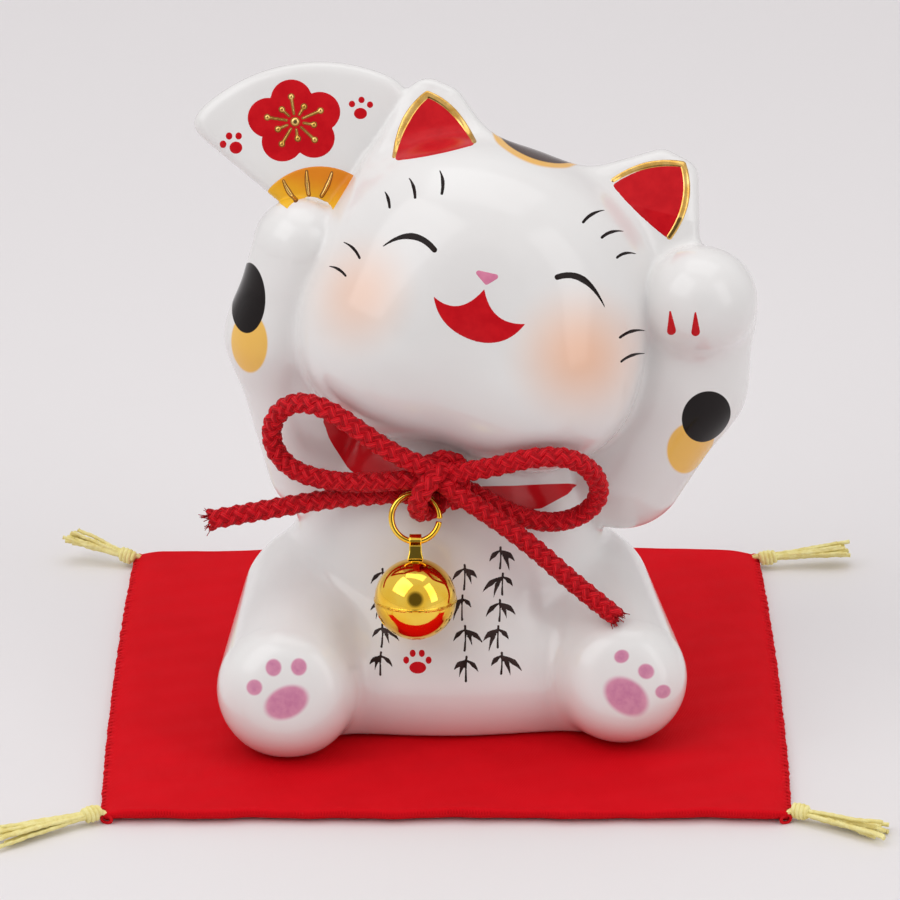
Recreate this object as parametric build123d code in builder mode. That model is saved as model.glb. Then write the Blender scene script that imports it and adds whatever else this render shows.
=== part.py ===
from build123d import *
import math
import os

# Beckoning cat on a tasselled mat, in millimetres. +Z is up, +X is the viewer's right, the cat faces -Y,
# and the origin is the middle of the mat's underside.

os.makedirs("parts", exist_ok=True)

# --- driving dimensions -------------------------------------------------------------------------------
MAT_WIDTH = 100.0
MAT_DEPTH = 95.0
MAT_THICK = 2.0
CLOTH = 0.45            # one layer of the mat's cloth
EDGE_STITCH = 0.8       # how far the overlocked edge stands past the cloth
TASSEL_KNOT_RADIUS = 1.75
TASSEL_TIP_RADIUS = 1.7

WALL = 3.0              # fired porcelain
VENT_RADIUS = 5.0       # casting hole in the base
LEAN_BACK = 22.6        # degrees: the head, the fan and the ring lean back from upright by this
HEAD_ROLL = 15.0        # degrees: the head tips to one side
HEAD_CENTRE = (5.3, -3.0, 65.3)
FAN_PIVOT = (-18.6, 0.5, 73.0)
FAN_RADIUS = 25.3
FAN_THICK = 4.4
FAN_TILT = 9.5
FAN_HALF_ANGLE = 41.0
EAR_ROUND = 3.2
EAR_THICK = 7.0

CORD = 3.0              # diameter of the braided cord
RING_RADIUS = 3.5       # centreline of the jump ring
RING_WIRE = 0.9
RING_GAP = 9.0          # degrees left open where the wire's ends meet
RING_GAP_MIDDLE = -6.0  # degrees from the viewer's right
RING_CENTRE = (-4.5, -21.3, 37.1)
RING_SLOT = 0.7         # how far the knot's slot reaches past the ring's own clearance
KNOT_PRESS = 0.05       # how far the strand in the ring is pressed thinner than the cord
KNOT_REACH = 1.6        # how far that strand is straight on each side of the ring
BELL_RADIUS = 6.0
BELL_WALL = 0.5
BELL_DROP = 8.4         # from the ring's lowest wire to the bell's middle
BELL_RIM = 0.35         # how far the crimped seam stands out
BELL_RIM_THICK = 0.25
STRAP_WIDTH = 1.9
STRAP_THICK = 0.4
STRAP_BORE = 0.75
SLIT_PLAY = 0.1
SLOT_WIDTH = 1.1
SLOT_END = 0.9          # radius of the slot's round ends
SLOT_REACH = 62.0       # degrees from the bell's lowest point to each end of the slot
SLOT_TURN = 20.0        # degrees that the slot's left end is turned to the front
PEA_RADIUS = 2.2
PEA_GAP = 0.15
GAP = 0.3               # working clearance round the ring

# --- shared planes ------------------------------------------------------------------------------------
lean = math.radians(LEAN_BACK)
roll = math.radians(HEAD_ROLL)
right = Vector(1, 0, 0)
up = Vector(0, math.sin(lean), math.cos(lean))
front = right.cross(up)
head_plane = Plane(origin=HEAD_CENTRE, x_dir=right * math.cos(roll) - up * math.sin(roll), z_dir=front)
fan_plane = Plane(origin=FAN_PIVOT, x_dir=right, z_dir=front)
ring_plane = Plane(origin=RING_CENTRE, x_dir=right, z_dir=front)
strand_offset = RING_RADIUS - RING_WIRE / 2 - CORD / 2
hinge_point = ring_plane.from_local_coords((0, -RING_RADIUS, 0))
bell_centre = hinge_point - up * BELL_DROP
bell_plane = Plane(origin=bell_centre, x_dir=right, z_dir=up)
unit_ball = Solid.make_sphere(1.0)


def place(plane, x, y, z=0.0):
    """A location given in a plane's own coordinates and turned as the plane is."""
    return plane.location * Location((x, y, z))


def ellipsoid(location, radii, mode=Mode.ADD):
    """An ellipsoid with three semi-axes, added to the current part."""
    ball = scale(unit_ball, by=radii, mode=Mode.PRIVATE)
    with Locations(location):
        add(ball, mode=mode)


def limb(start, end, start_radius, end_radius, mode=Mode.ADD):
    """A tapered round limb with ball ends, turned about the line from start to end."""
    begin = Vector(*start)
    along = Vector(*end) - begin
    side = Plane(origin=begin, z_dir=along).x_dir
    section = Plane(origin=begin, x_dir=side, z_dir=side.cross(along))
    slope = math.degrees(math.asin((start_radius - end_radius) / along.length))
    with BuildSketch(section) as profile:
        with BuildLine():
            near = CenterArc((0, 0), start_radius, -90, 90 + slope)
            far = CenterArc((0, along.length), end_radius, slope, 90 - slope)
            Line(near @ 1, far @ 0)
            Line(far @ 1, near @ 0)
        make_face()
    revolve(profile.sketch, axis=Axis(begin, along), mode=mode)


def ear(corners):
    """A flat round-edged ear drawn by its three inner corners in the head's plane."""
    with BuildSketch(head_plane.offset(-1.0)) as outline:
        with BuildLine():
            Polyline(*corners, close=True)
        make_face()
        offset(amount=EAR_ROUND, kind=Kind.ARC)
    extrude(outline.sketch, amount=EAR_THICK / 2, both=True)


def finish(builder, name):
    """Label a finished piece and write it to its own file."""
    builder.part.label = name
    export_step(builder.part, f"parts/{name}.step")


# --- mat ----------------------------------------------------------------------------------------------
# One cloth folded into a flat sleeve: the front and back edges are folds, the ends are open.
with BuildPart() as mat_cover:
    with BuildSketch(Plane.YZ):
        with Locations((0, MAT_THICK / 2)):
            SlotOverall(MAT_DEPTH, MAT_THICK)
            SlotOverall(MAT_DEPTH - 2 * CLOTH, MAT_THICK - 2 * CLOTH, mode=Mode.SUBTRACT)
    extrude(amount=MAT_WIDTH / 2, both=True)
finish(mat_cover, "mat_cover")

with BuildPart() as mat_wadding:
    with BuildSketch(Plane.YZ):
        with Locations((0, MAT_THICK / 2)):
            SlotOverall(MAT_DEPTH - 2 * CLOTH, MAT_THICK - 2 * CLOTH)
    extrude(amount=MAT_WIDTH / 2, both=True)
finish(mat_wadding, "mat_wadding")

for side_name, side in (("left", -1), ("right", 1)):
    with BuildPart() as edge_stitch:
        with BuildSketch(Plane.YZ.offset(side * (MAT_WIDTH + EDGE_STITCH) / 2)):
            with Locations((0, MAT_THICK / 2)):
                SlotOverall(MAT_DEPTH, MAT_THICK)
        extrude(amount=EDGE_STITCH / 2, both=True)
    finish(edge_stitch, f"mat_edge_stitch_{side_name}")

# Each tassel is yarn knotted at a corner of the mat, with its loose end spread away from it.
TASSELS = {
    "front_left": ((-52.6, -47.0, 1.8), (-64.5, -55.0, 1.8)),
    "front_right": ((52.8, -45.2, 1.8), (64.5, -51.5, 1.8)),
    "back_left": ((-52.6, 44.4, 2.0), (-61.8, 48.2, 4.2)),
    "back_right": ((52.8, 42.2, 1.9), (64.5, 44.6, 2.3)),
}
for corner, (knot_place, tip) in TASSELS.items():
    with BuildPart() as tassel:
        limb(knot_place, tip, TASSEL_KNOT_RADIUS, TASSEL_TIP_RADIUS)
    finish(tassel, f"tassel_{corner}")

# --- porcelain cat ------------------------------------------------------------------------------------
# The casting's hollow follows the head and the body one wall inside, and opens at the base.
with BuildPart() as hollow:
    ellipsoid(place(head_plane, 0, 3.5), (25.0 - WALL, 20.3 - WALL, 20.0 - WALL))
    ellipsoid(place(head_plane, 0, -8.8, 0.5), (25.5 - WALL, 15.6 - WALL, 18.7 - WALL))
    ellipsoid(Location((0.5, 1.0, 26.0)), (23.0 - WALL, 19.5 - WALL, 28.0 - WALL))
    ellipsoid(Location((0.5, 0.0, 10.0)), (28.5 - WALL, 24.6 - WALL, 16.0 - WALL))
    split(bisect_by=Plane.XY.offset(MAT_THICK + WALL), keep=Keep.TOP)
    with Locations((0.5, 0, MAT_THICK + WALL / 2)):
        Cylinder(VENT_RADIUS, 2 * WALL)

with BuildPart() as porcelain_cat:
    ellipsoid(Location((0.5, 1.0, 26.0)), (23.0, 19.5, 28.0))
    ellipsoid(Location((0.5, 0.0, 10.0)), (28.5, 24.6, 16.0))
    ellipsoid(place(head_plane, 0, 3.5), (25.0, 20.3, 20.0))
    ellipsoid(place(head_plane, 0, -8.8, 0.5), (25.5, 15.6, 18.7))
    # hind legs, stretched forward with the soles showing
    limb((-19.0, 2.0, 13.0), (-24.8, -25.0, 10.8), 11.5, 9.5)
    limb((20.0, 4.0, 13.0), (27.6, -21.5, 11.2), 11.5, 9.3)
    # the arm that carries the fan
    limb((-17.0, 0.0, 38.0), (-23.6, -1.0, 58.0), 10.0, 8.6)
    limb((-23.6, -1.0, 58.0), (-21.6, -2.0, 72.5), 8.6, 6.8)
    # the beckoning arm and its paw
    limb((26.2, -1.0, 37.5), (35.0, -2.0, 51.0), 10.0, 9.2)
    limb((35.0, -2.0, 51.0), (37.2, -3.0, 62.0), 9.2, 8.6)
    ellipsoid(Location((37.3, -8.5, 66.0)), (8.4, 8.4, 8.0))
    # a short round tail at the back
    ellipsoid(Location((7.0, 23.5, 9.5)), (6.5, 6.0, 6.0))
    ear([(-18.0, 14.0), (-5.5, 17.0), (-15.4, 25.6)])
    ear([(11.0, 16.0), (25.0, 11.0), (21.8, 24.0)])
    # the open fan, a round-edged sector
    with BuildSketch(fan_plane):
        with BuildLine():
            rim = CenterArc((0, 0), FAN_RADIUS, 90 + FAN_TILT - FAN_HALF_ANGLE, 2 * FAN_HALF_ANGLE)
            Line((0, 0), rim @ 0)
            Line(rim @ 1, (0, 0))
        make_face()
        fillet(vertices().sort_by_distance((0, 0))[1:], EAR_ROUND)
    extrude(amount=FAN_THICK / 2, both=True)
    split(bisect_by=Plane.XY.offset(MAT_THICK), keep=Keep.TOP)
    add(hollow.part, mode=Mode.SUBTRACT)
finish(porcelain_cat, "porcelain_cat")

# --- bow ----------------------------------------------------------------------------------------------
# The knot is a lump of crossed cord. Its lowest strand passes through the ring, which swings in a slot.
with BuildPart() as bow_knot:
    ellipsoid(Location((-0.6, -20.9, 42.6)), (5.0, 3.2, 4.4))
    limb((0.4, -21.6, 44.2), (-4.4, -20.7, 38.7), 2.6, 2.1)
    limb((-3.2, -17.7, 39.6), (2.0, -18.4, 41.5), CORD / 2, CORD / 2)
    with BuildSketch(ring_plane):
        Circle(RING_RADIUS + RING_WIRE / 2 + GAP + RING_SLOT)
    extrude(amount=RING_WIRE / 2 + GAP, both=True, mode=Mode.SUBTRACT)
    with BuildSketch(ring_plane):
        with Locations((0, strand_offset)):
            Circle(CORD / 2 - KNOT_PRESS)
    extrude(amount=KNOT_REACH, both=True)
finish(bow_knot, "bow_knot")

with BuildPart() as glue_dab:
    ellipsoid(Location((-0.4, -17.0, 42.8)), (2.4, 1.8, 1.8))
    add(bow_knot.part, mode=Mode.SUBTRACT)
    add(porcelain_cat.part, mode=Mode.SUBTRACT)
finish(glue_dab, "glue_dab")

# Each route is the cord's centreline from the knot outwards.
ROUTES = {
    "bow_left_loop": [
        (-3.2, -22.4, 46.7), (-7.3, -22.2, 48.6), (-12.2, -22.0, 52.0), (-17.4, -20.2, 54.4),
        (-22.2, -16.8, 53.8), (-25.5, -14.2, 49.9), (-25.7, -13.4, 45.2), (-23.0, -14.2, 41.8),
        (-18.2, -16.2, 40.9), (-12.6, -18.6, 41.6), (-7.3, -20.6, 42.9), (-3.8, -21.2, 43.5),
    ],
    "bow_right_loop": [
        (2.9, -22.2, 45.3), (7.2, -24.0, 46.6), (12.1, -25.4, 48.4), (17.4, -24.6, 48.2),
        (21.4, -21.4, 44.7), (22.8, -17.6, 39.4), (20.6, -15.6, 35.2), (15.9, -16.0, 33.8),
        (10.8, -17.4, 35.5), (6.7, -18.2, 38.1), (3.5, -18.6, 40.2),
    ],
    "bow_left_tail": [
        (-3.3, -17.6, 39.3), (-8.5, -17.2, 39.1), (-14.7, -15.2, 37.8), (-21.2, -13.8, 36.2),
        (-28.4, -13.6, 34.7), (-35.1, -14.6, 33.8),
    ],
    "bow_right_tail": [
        (1.4, -22.5, 41.6), (5.2, -22.2, 38.7), (9.3, -21.8, 35.5), (13.6, -21.0, 31.5),
        (17.7, -21.0, 27.5), (21.7, -21.8, 24.3), (25.2, -23.6, 22.0),
    ],
}


def bend_radii(points):
    """The largest arc for each corner: 0.45 of its shorter run over the tangent of half its turn."""
    places = [Vector(*point) for point in points]
    radii = []
    for before, corner, after in zip(places, places[1:], places[2:]):
        inward = corner - before
        outward = after - corner
        half_turn = math.radians(inward.get_angle(outward)) / 2
        radii.append(0.45 * min(inward.length, outward.length) / math.tan(half_turn))
    return radii


for cord_name, route in ROUTES.items():
    arcs = bend_radii(route)
    print(cord_name, "bend radii, mm:", [round(radius, 1) for radius in arcs])
    with BuildPart() as cord:
        with BuildLine() as path:
            FilletPolyline(*route, radius=arcs)
        centreline = path.wire()
        with BuildSketch(Plane(origin=centreline @ 0, z_dir=centreline % 0)):
            Circle(CORD / 2)
        sweep(path=centreline)
    ratio = cord.part.volume / (math.pi * CORD**2 / 4 * centreline.length)
    print(f"{cord_name} length {centreline.length:.1f} mm, volume over section times length {ratio:.3f}")
    finish(cord, cord_name)

# --- ring and bell ------------------------------------------------------------------------------------
# The ring is bent from wire, with its two ends a little apart on the right.
ring_start = math.radians(RING_GAP_MIDDLE + RING_GAP / 2)
outward = right * math.cos(ring_start) + up * math.sin(ring_start)
wire_end = Vector(*RING_CENTRE) + outward * RING_RADIUS
with BuildPart() as jump_ring:
    with BuildSketch(Plane(origin=wire_end, x_dir=outward, z_dir=front.cross(outward))):
        Circle(RING_WIRE / 2)
    revolve(axis=Axis(RING_CENTRE, front), revolution_arc=360 - RING_GAP)
finish(jump_ring, "jump_ring")

bell_section = Plane(origin=bell_centre, x_dir=right, z_dir=front)
bell_axis = Axis(bell_centre, up)
inner_radius = BELL_RADIUS - BELL_WALL
with BuildPart() as bell_upper_shell:
    with BuildSketch(bell_section):
        Circle(BELL_RADIUS)
        with Locations((0, BELL_RIM_THICK / 2)):
            Rectangle(2 * (BELL_RADIUS + BELL_RIM), BELL_RIM_THICK)
        Circle(inner_radius, mode=Mode.SUBTRACT)
        with Locations((BELL_RADIUS, BELL_RADIUS)):
            Rectangle(2 * BELL_RADIUS, 2 * BELL_RADIUS, mode=Mode.INTERSECT)
    revolve(axis=bell_axis)
    # the slit that the strap's ends go through
    with BuildSketch(bell_plane):
        Rectangle(STRAP_WIDTH + SLIT_PLAY, 2 * STRAP_THICK + SLIT_PLAY)
    extrude(amount=BELL_RADIUS + 1, mode=Mode.SUBTRACT)
finish(bell_upper_shell, "bell_upper_shell")

with BuildPart() as bell_lower_shell:
    with BuildSketch(bell_section):
        Circle(BELL_RADIUS)
        with Locations((0, -BELL_RIM_THICK / 2)):
            Rectangle(2 * (BELL_RADIUS + BELL_RIM), BELL_RIM_THICK)
        Circle(inner_radius, mode=Mode.SUBTRACT)
        with Locations((BELL_RADIUS, -BELL_RADIUS)):
            Rectangle(2 * BELL_RADIUS, 2 * BELL_RADIUS, mode=Mode.INTERSECT)
    revolve(axis=bell_axis)
    # the sound slot under the bell, with a round hole at each end
    slot_plane = bell_section.rotated((0, SLOT_TURN, 0))
    with BuildSketch(slot_plane):
        with BuildLine():
            sweep_arc = CenterArc((0, 0), BELL_RADIUS + 1, -90 - SLOT_REACH, 2 * SLOT_REACH)
            Line((0, 0), sweep_arc @ 0)
            Line(sweep_arc @ 1, (0, 0))
        make_face()
    extrude(amount=SLOT_WIDTH / 2, both=True, mode=Mode.SUBTRACT)
    for reach in (-SLOT_REACH, SLOT_REACH):
        with BuildSketch(slot_plane.rotated((0, 0, reach)).rotated((90, 0, 0))):
            Circle(SLOT_END)
        extrude(amount=BELL_RADIUS + 1, mode=Mode.SUBTRACT)
finish(bell_lower_shell, "bell_lower_shell")

# A strip folded over the ring. Its two ends run through the slit and are bent apart inside the bell.
strap_plane = Plane(origin=hinge_point, x_dir=-front, z_dir=right)
strap_drop = BELL_DROP - BELL_RADIUS
with BuildPart() as bell_hanger:
    with BuildSketch(strap_plane):
        Circle(STRAP_BORE + STRAP_THICK)
        with Locations((0, -strap_drop)):
            Rectangle(2 * STRAP_THICK, STRAP_THICK)
        make_hull()
    extrude(amount=STRAP_WIDTH / 2, both=True)
    with BuildSketch(strap_plane):
        Circle(STRAP_BORE)
        with Locations((0, -strap_drop + 2 * STRAP_THICK)):
            Circle(STRAP_THICK / 4)
        make_hull()
    extrude(amount=STRAP_WIDTH / 2, both=True, mode=Mode.SUBTRACT)
    with BuildSketch(strap_plane):
        with Locations((0, -strap_drop - BELL_WALL / 2)):
            Rectangle(2 * STRAP_THICK, 3 * BELL_WALL)
        with Locations((0, -strap_drop - BELL_WALL - STRAP_THICK)):
            Rectangle(STRAP_WIDTH, STRAP_THICK)
    extrude(amount=STRAP_WIDTH / 2, both=True)
finish(bell_hanger, "bell_hanger")

with BuildPart() as bell_pea:
    with Locations(bell_centre - Vector(0, 0, inner_radius - PEA_RADIUS - PEA_GAP)):
        Sphere(PEA_RADIUS)
finish(bell_pea, "bell_pea")
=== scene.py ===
import math

import bpy
import numpy as np
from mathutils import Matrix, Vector


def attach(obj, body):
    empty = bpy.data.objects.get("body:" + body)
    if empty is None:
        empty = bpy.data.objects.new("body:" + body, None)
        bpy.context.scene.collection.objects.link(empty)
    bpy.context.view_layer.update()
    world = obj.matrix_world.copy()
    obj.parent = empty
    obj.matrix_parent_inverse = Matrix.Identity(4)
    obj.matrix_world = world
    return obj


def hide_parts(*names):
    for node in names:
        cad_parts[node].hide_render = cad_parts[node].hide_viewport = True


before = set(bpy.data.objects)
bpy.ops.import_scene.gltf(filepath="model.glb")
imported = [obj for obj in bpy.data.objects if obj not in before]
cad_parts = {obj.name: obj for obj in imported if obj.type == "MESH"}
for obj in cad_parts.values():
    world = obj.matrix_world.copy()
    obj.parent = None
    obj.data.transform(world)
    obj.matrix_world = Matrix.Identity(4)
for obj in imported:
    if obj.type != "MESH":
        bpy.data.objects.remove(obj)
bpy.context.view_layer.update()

# A porcelain beckoning cat with a fan, a cord bow and a bell, on a tasselled cloth mat.
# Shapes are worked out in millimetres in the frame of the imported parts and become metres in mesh_object.
MM = 0.001
RNG = np.random.default_rng(7)

# --- planes that the cat is painted and posed in -------------------------------------------------------
LEAN = math.radians(22.6)          # the head, the fan and the ring lean back by this
MAT_TOP = 2.0
HEAD_CENTRE = np.array([5.3, -3.0, 65.3])
HEAD_ROLL = 15.0
FAN_PIVOT = np.array([-18.6, 0.5, 73.0])
RING_CENTRE = np.array([-4.5, -21.3, 37.1])
ACROSS = np.array([1.0, 0.0, 0.0])
UP = np.array([0.0, math.sin(LEAN), math.cos(LEAN)])
FRONT = np.array([0.0, -math.cos(LEAN), math.sin(LEAN)])


def rolled(degrees):
    """Axes across, up and front of a leaning plane that is tipped to the right by an angle."""
    angle = math.radians(degrees)
    across = math.cos(angle) * ACROSS - math.sin(angle) * UP
    up = math.sin(angle) * ACROSS + math.cos(angle) * UP
    return np.array([across, up, FRONT])


HEAD_AXES = rolled(HEAD_ROLL)
BODY_AXES = rolled(0.0)
HEAD_PLANE = (HEAD_CENTRE, HEAD_AXES)
FAN_PLANE = (FAN_PIVOT, BODY_AXES)
BODY_PLANE = (np.zeros(3), BODY_AXES)


def head_point(across, up, front):
    return HEAD_CENTRE + np.array([across, up, front]) @ HEAD_AXES


# --- distance fields, in millimetres -------------------------------------------------------------------
def join(a, b, soft):
    """The nearer of two solids, melted together over a soft distance."""
    h = np.maximum(soft - np.abs(a - b), 0) / soft
    return np.minimum(a, b) - h * h * h * soft / 6


def trim(a, b, soft):
    """What two solids share, with a soft edge."""
    return -join(-a, -b, soft)


def ellipsoid(p, centre, radii, axes=None):
    q = p - np.array(centre, float)
    if axes is not None:
        q = q @ np.array(axes).T
    radii = np.array(radii, float)
    near = np.sqrt(((q / radii) ** 2).sum(-1))
    steep = np.sqrt(((q / radii**2) ** 2).sum(-1))
    return near * (near - 1) / np.maximum(steep, 1e-9)


def limb(p, start, end, start_radius, end_radius):
    """A tapered round limb between two points."""
    start = np.array(start, float)
    along = np.array(end, float) - start
    t = np.clip((p - start) @ along / (along @ along), 0, 1)
    gap = np.linalg.norm(p - start - t[..., None] * along, axis=-1)
    return gap - (start_radius + (end_radius - start_radius) * t)


def polygon(q, corners):
    """Distance in the plane to a closed outline, negative inside it."""
    corners = np.array(corners, float)
    gap = np.full(q.shape[:-1], 1e9)
    sign = np.ones(q.shape[:-1])
    for a, b in zip(corners, np.roll(corners, -1, axis=0)):
        edge = b - a
        w = q - a
        t = np.clip((w @ edge) / (edge @ edge), 0, 1)
        gap = np.minimum(gap, ((w - t[..., None] * edge) ** 2).sum(-1))
        above = q[..., 1] >= a[1]
        below = q[..., 1] < b[1]
        left = edge[0] * w[..., 1] > edge[1] * w[..., 0]
        sign = np.where((above & below & left) | (~above & ~below & ~left), -sign, sign)
    return sign * np.sqrt(gap)


def ear(p, corners, rounding=3.2):
    """A flat triangular ear in the head's plane, thicker at its root."""
    q = (p - HEAD_CENTRE) @ HEAD_AXES.T
    outline = polygon(q[..., :2], corners) - rounding
    height = np.clip((q[..., 1] - 18) / 9, 0, 1)
    thick = np.abs(q[..., 2] + 1.0) - (5.0 - 2.4 * height)
    return trim(outline, thick, 3.0)


def fan(p, tilt=-9.5, half_angle=41.0, radius=25.6, half_thick=2.2):
    q = (p - FAN_PIVOT) @ BODY_AXES.T
    tilt = math.radians(tilt)
    half_angle = math.radians(half_angle)
    x = np.abs(q[..., 0] * math.cos(tilt) - q[..., 1] * math.sin(tilt))
    y = q[..., 0] * math.sin(tilt) + q[..., 1] * math.cos(tilt)
    side = x * math.cos(half_angle) - y * math.sin(half_angle)
    sector = trim(np.hypot(x, y) - radius, side, 5.0)
    return trim(sector, np.abs(q[..., 2]) - half_thick, 3.0)


EAR_LEFT = [(-18.0, 14.0), (-2.8, 16.5), (-12.6, 25.0), (-15.0, 25.4)]
EAR_RIGHT = [(9.5, 17.3), (26.8, 11.3), (23.4, 23.6), (20.8, 24.2)]
LEFT_SOLE = np.array([-23.4, -24.6, 11.2])
RIGHT_SOLE = np.array([25.9, -21.3, 11.4])
SOLE_FACING = np.array([0.0, -0.94, 0.34])


def cat(p):
    """The whole porcelain casting."""
    crown = ellipsoid(p, head_point(0, 3.2, 0), (25.0, 19.2, 20.0), HEAD_AXES)
    left_cheek = ellipsoid(p, head_point(-9.5, -8.5, 0.5), (16.3, 15.8, 18.5), HEAD_AXES)
    right_cheek = ellipsoid(p, head_point(9.5, -8.5, 0.5), (16.3, 15.8, 18.5), HEAD_AXES)
    head = join(crown, join(left_cheek, right_cheek, 10), 9)
    head = join(head, join(ear(p, EAR_LEFT), ear(p, EAR_RIGHT), 1), 5)
    chest = ellipsoid(p, (0.5, 1.0, 26.0), (23.0, 19.5, 28.0))
    seat = ellipsoid(p, (0.5, 0.0, 10.0), (28.5, 24.6, 16.0))
    lap = limb(p, (-17.0, -13.0, 9.0), (18.0, -12.0, 9.0), 11.0, 11.0)
    left_leg = limb(p, (-19.0, 2.0, 13.0), LEFT_SOLE, 12.0, 10.4)
    right_leg = limb(p, (20.0, 4.0, 13.0), RIGHT_SOLE, 11.3, 9.7)
    left_leg = trim(left_leg, (p - LEFT_SOLE) @ SOLE_FACING - 8.6, 4)
    right_leg = trim(right_leg, (p - RIGHT_SOLE) @ SOLE_FACING - 8.0, 4)
    body = join(join(join(chest, seat, 10), lap, 6), join(left_leg, right_leg, 3), 5)
    body = join(body, ellipsoid(p, (7.0, 23.5, 9.5), (6.5, 6.0, 6.0)), 2.5)
    fan_arm = join(limb(p, (-17, 0, 38), (-23.6, -1, 58), 10, 8.6),
                   limb(p, (-23.6, -1, 58), (-21.6, -2, 72.5), 8.6, 6.8), 4)
    raised_arm = join(limb(p, (26.2, -1, 37.5), (35, -2, 51), 10, 9.2),
                      limb(p, (35, -2, 51), (37.2, -3, 62), 9.2, 8.6), 4)
    raised_arm = join(raised_arm, ellipsoid(p, (37.2, -8.3, 66.2), (8.3, 8.3, 7.9)), 4)
    arms = join(join(fan_arm, fan(p), 1.2), raised_arm, 1)
    whole = join(join(head, body, 3), arms, 2.5)
    whole = trim(whole, MAT_TOP - p[..., 2], 1.5)
    vent = np.maximum(np.hypot(p[..., 0] - 0.5, p[..., 1]) - 5.0, p[..., 2] - 12.0)
    return trim(whole, -vent, 0.8)


def slope(field, p, step=0.02):
    """The field's gradient, by central differences."""
    g = np.empty_like(p)
    for k in range(p.shape[-1]):
        d = np.zeros(p.shape[-1])
        d[k] = step
        g[..., k] = (field(p + d) - field(p - d)) / (2 * step)
    return g


def settle(field, p, rounds=3):
    """Moves points onto the field's zero level."""
    for _ in range(rounds):
        g = slope(field, p)
        p = p - (field(p) / np.maximum((g * g).sum(-1), 1e-6))[..., None] * g
    return p


def surface_net(field, low, high, cell):
    """(points, quads) of the field's zero level: one point for each cell that it crosses."""
    axes = [np.arange(a, b + cell, cell) for a, b in zip(low, high)]
    size = [len(a) for a in axes]
    value = np.empty(size, np.float32)
    for i, x in enumerate(axes[0]):
        slab = np.stack(np.meshgrid([x], axes[1], axes[2], indexing="ij"), -1)[0]
        value[i] = field(slab)
    inside = value < 0
    cells = [n - 1 for n in size]
    total = np.zeros(cells + [3], np.float32)
    count = np.zeros(cells, np.float32)
    grid = [np.arange(n, dtype=np.float32) for n in size]
    crossings = []
    for k in range(3):
        near = tuple(slice(0, -1) if j == k else slice(None) for j in range(3))
        far = tuple(slice(1, None) if j == k else slice(None) for j in range(3))
        crossed = inside[near] != inside[far]
        span = np.where(crossed, value[near] - value[far], 1)
        part = np.where(crossed, value[near] / span, 0)
        place = []
        for j in range(3):
            line = grid[j][near[j]].reshape([-1 if i == j else 1 for i in range(3)])
            place.append(np.broadcast_to(line, part.shape))
        place[k] = place[k] + part
        place = np.stack(place, -1) * crossed[..., None]
        a, b = [j for j in range(3) if j != k]
        for da in (0, 1):
            for db in (0, 1):
                pick = [slice(None)] * 3
                pick[a] = slice(da, cells[a] + da)
                pick[b] = slice(db, cells[b] + db)
                total += place[tuple(pick)]
                count += crossed[tuple(pick)]
        crossings.append((k, a, b, crossed, inside[near]))
    used = count > 0
    number = np.full(cells, -1, np.int64)
    number[used] = np.arange(used.sum())
    points = total[used] / count[used][:, None] * cell + np.array([a[0] for a in axes])
    quads = []
    for k, a, b, crossed, first_inside in crossings:
        where = np.argwhere(crossed)
        within = (where[:, a] > 0) & (where[:, a] < cells[a])
        within &= (where[:, b] > 0) & (where[:, b] < cells[b])
        where = where[within]
        corners = []
        for da, db in ((0, 0), (1, 0), (1, 1), (0, 1)):
            at = where.copy()
            at[:, a] -= da
            at[:, b] -= db
            corners.append(number[tuple(at.T)])
        quad = np.stack(corners, 1)
        turn = first_inside[tuple(where.T)] ^ (k == 1)
        quad[~turn] = quad[~turn][:, ::-1]
        quads.append(quad)
    return settle(field, points.astype(float)), np.concatenate(quads)


# --- finishes ------------------------------------------------------------------------------------------
class Wire:
    """A shader value. Arithmetic on it adds Math nodes to its finish."""

    def __init__(self, finish, socket):
        self.finish = finish
        self.socket = socket

    def _math(self, operation, *values):
        return self.finish.node("Math", {"operation": operation}, values)

    def __add__(self, other):
        return self._math("ADD", self, other)

    def __sub__(self, other):
        return self._math("SUBTRACT", self, other)

    def __rsub__(self, other):
        return self._math("SUBTRACT", other, self)

    def __mul__(self, other):
        return self._math("MULTIPLY", self, other)

    def __truediv__(self, other):
        return self._math("DIVIDE", self, other)

    def __pow__(self, other):
        return self._math("POWER", self, other)

    def sine(self):
        return self._math("SINE", self)

    def higher(self, other):
        return self._math("MAXIMUM", self, other)

    __radd__ = __add__
    __rmul__ = __mul__


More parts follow.
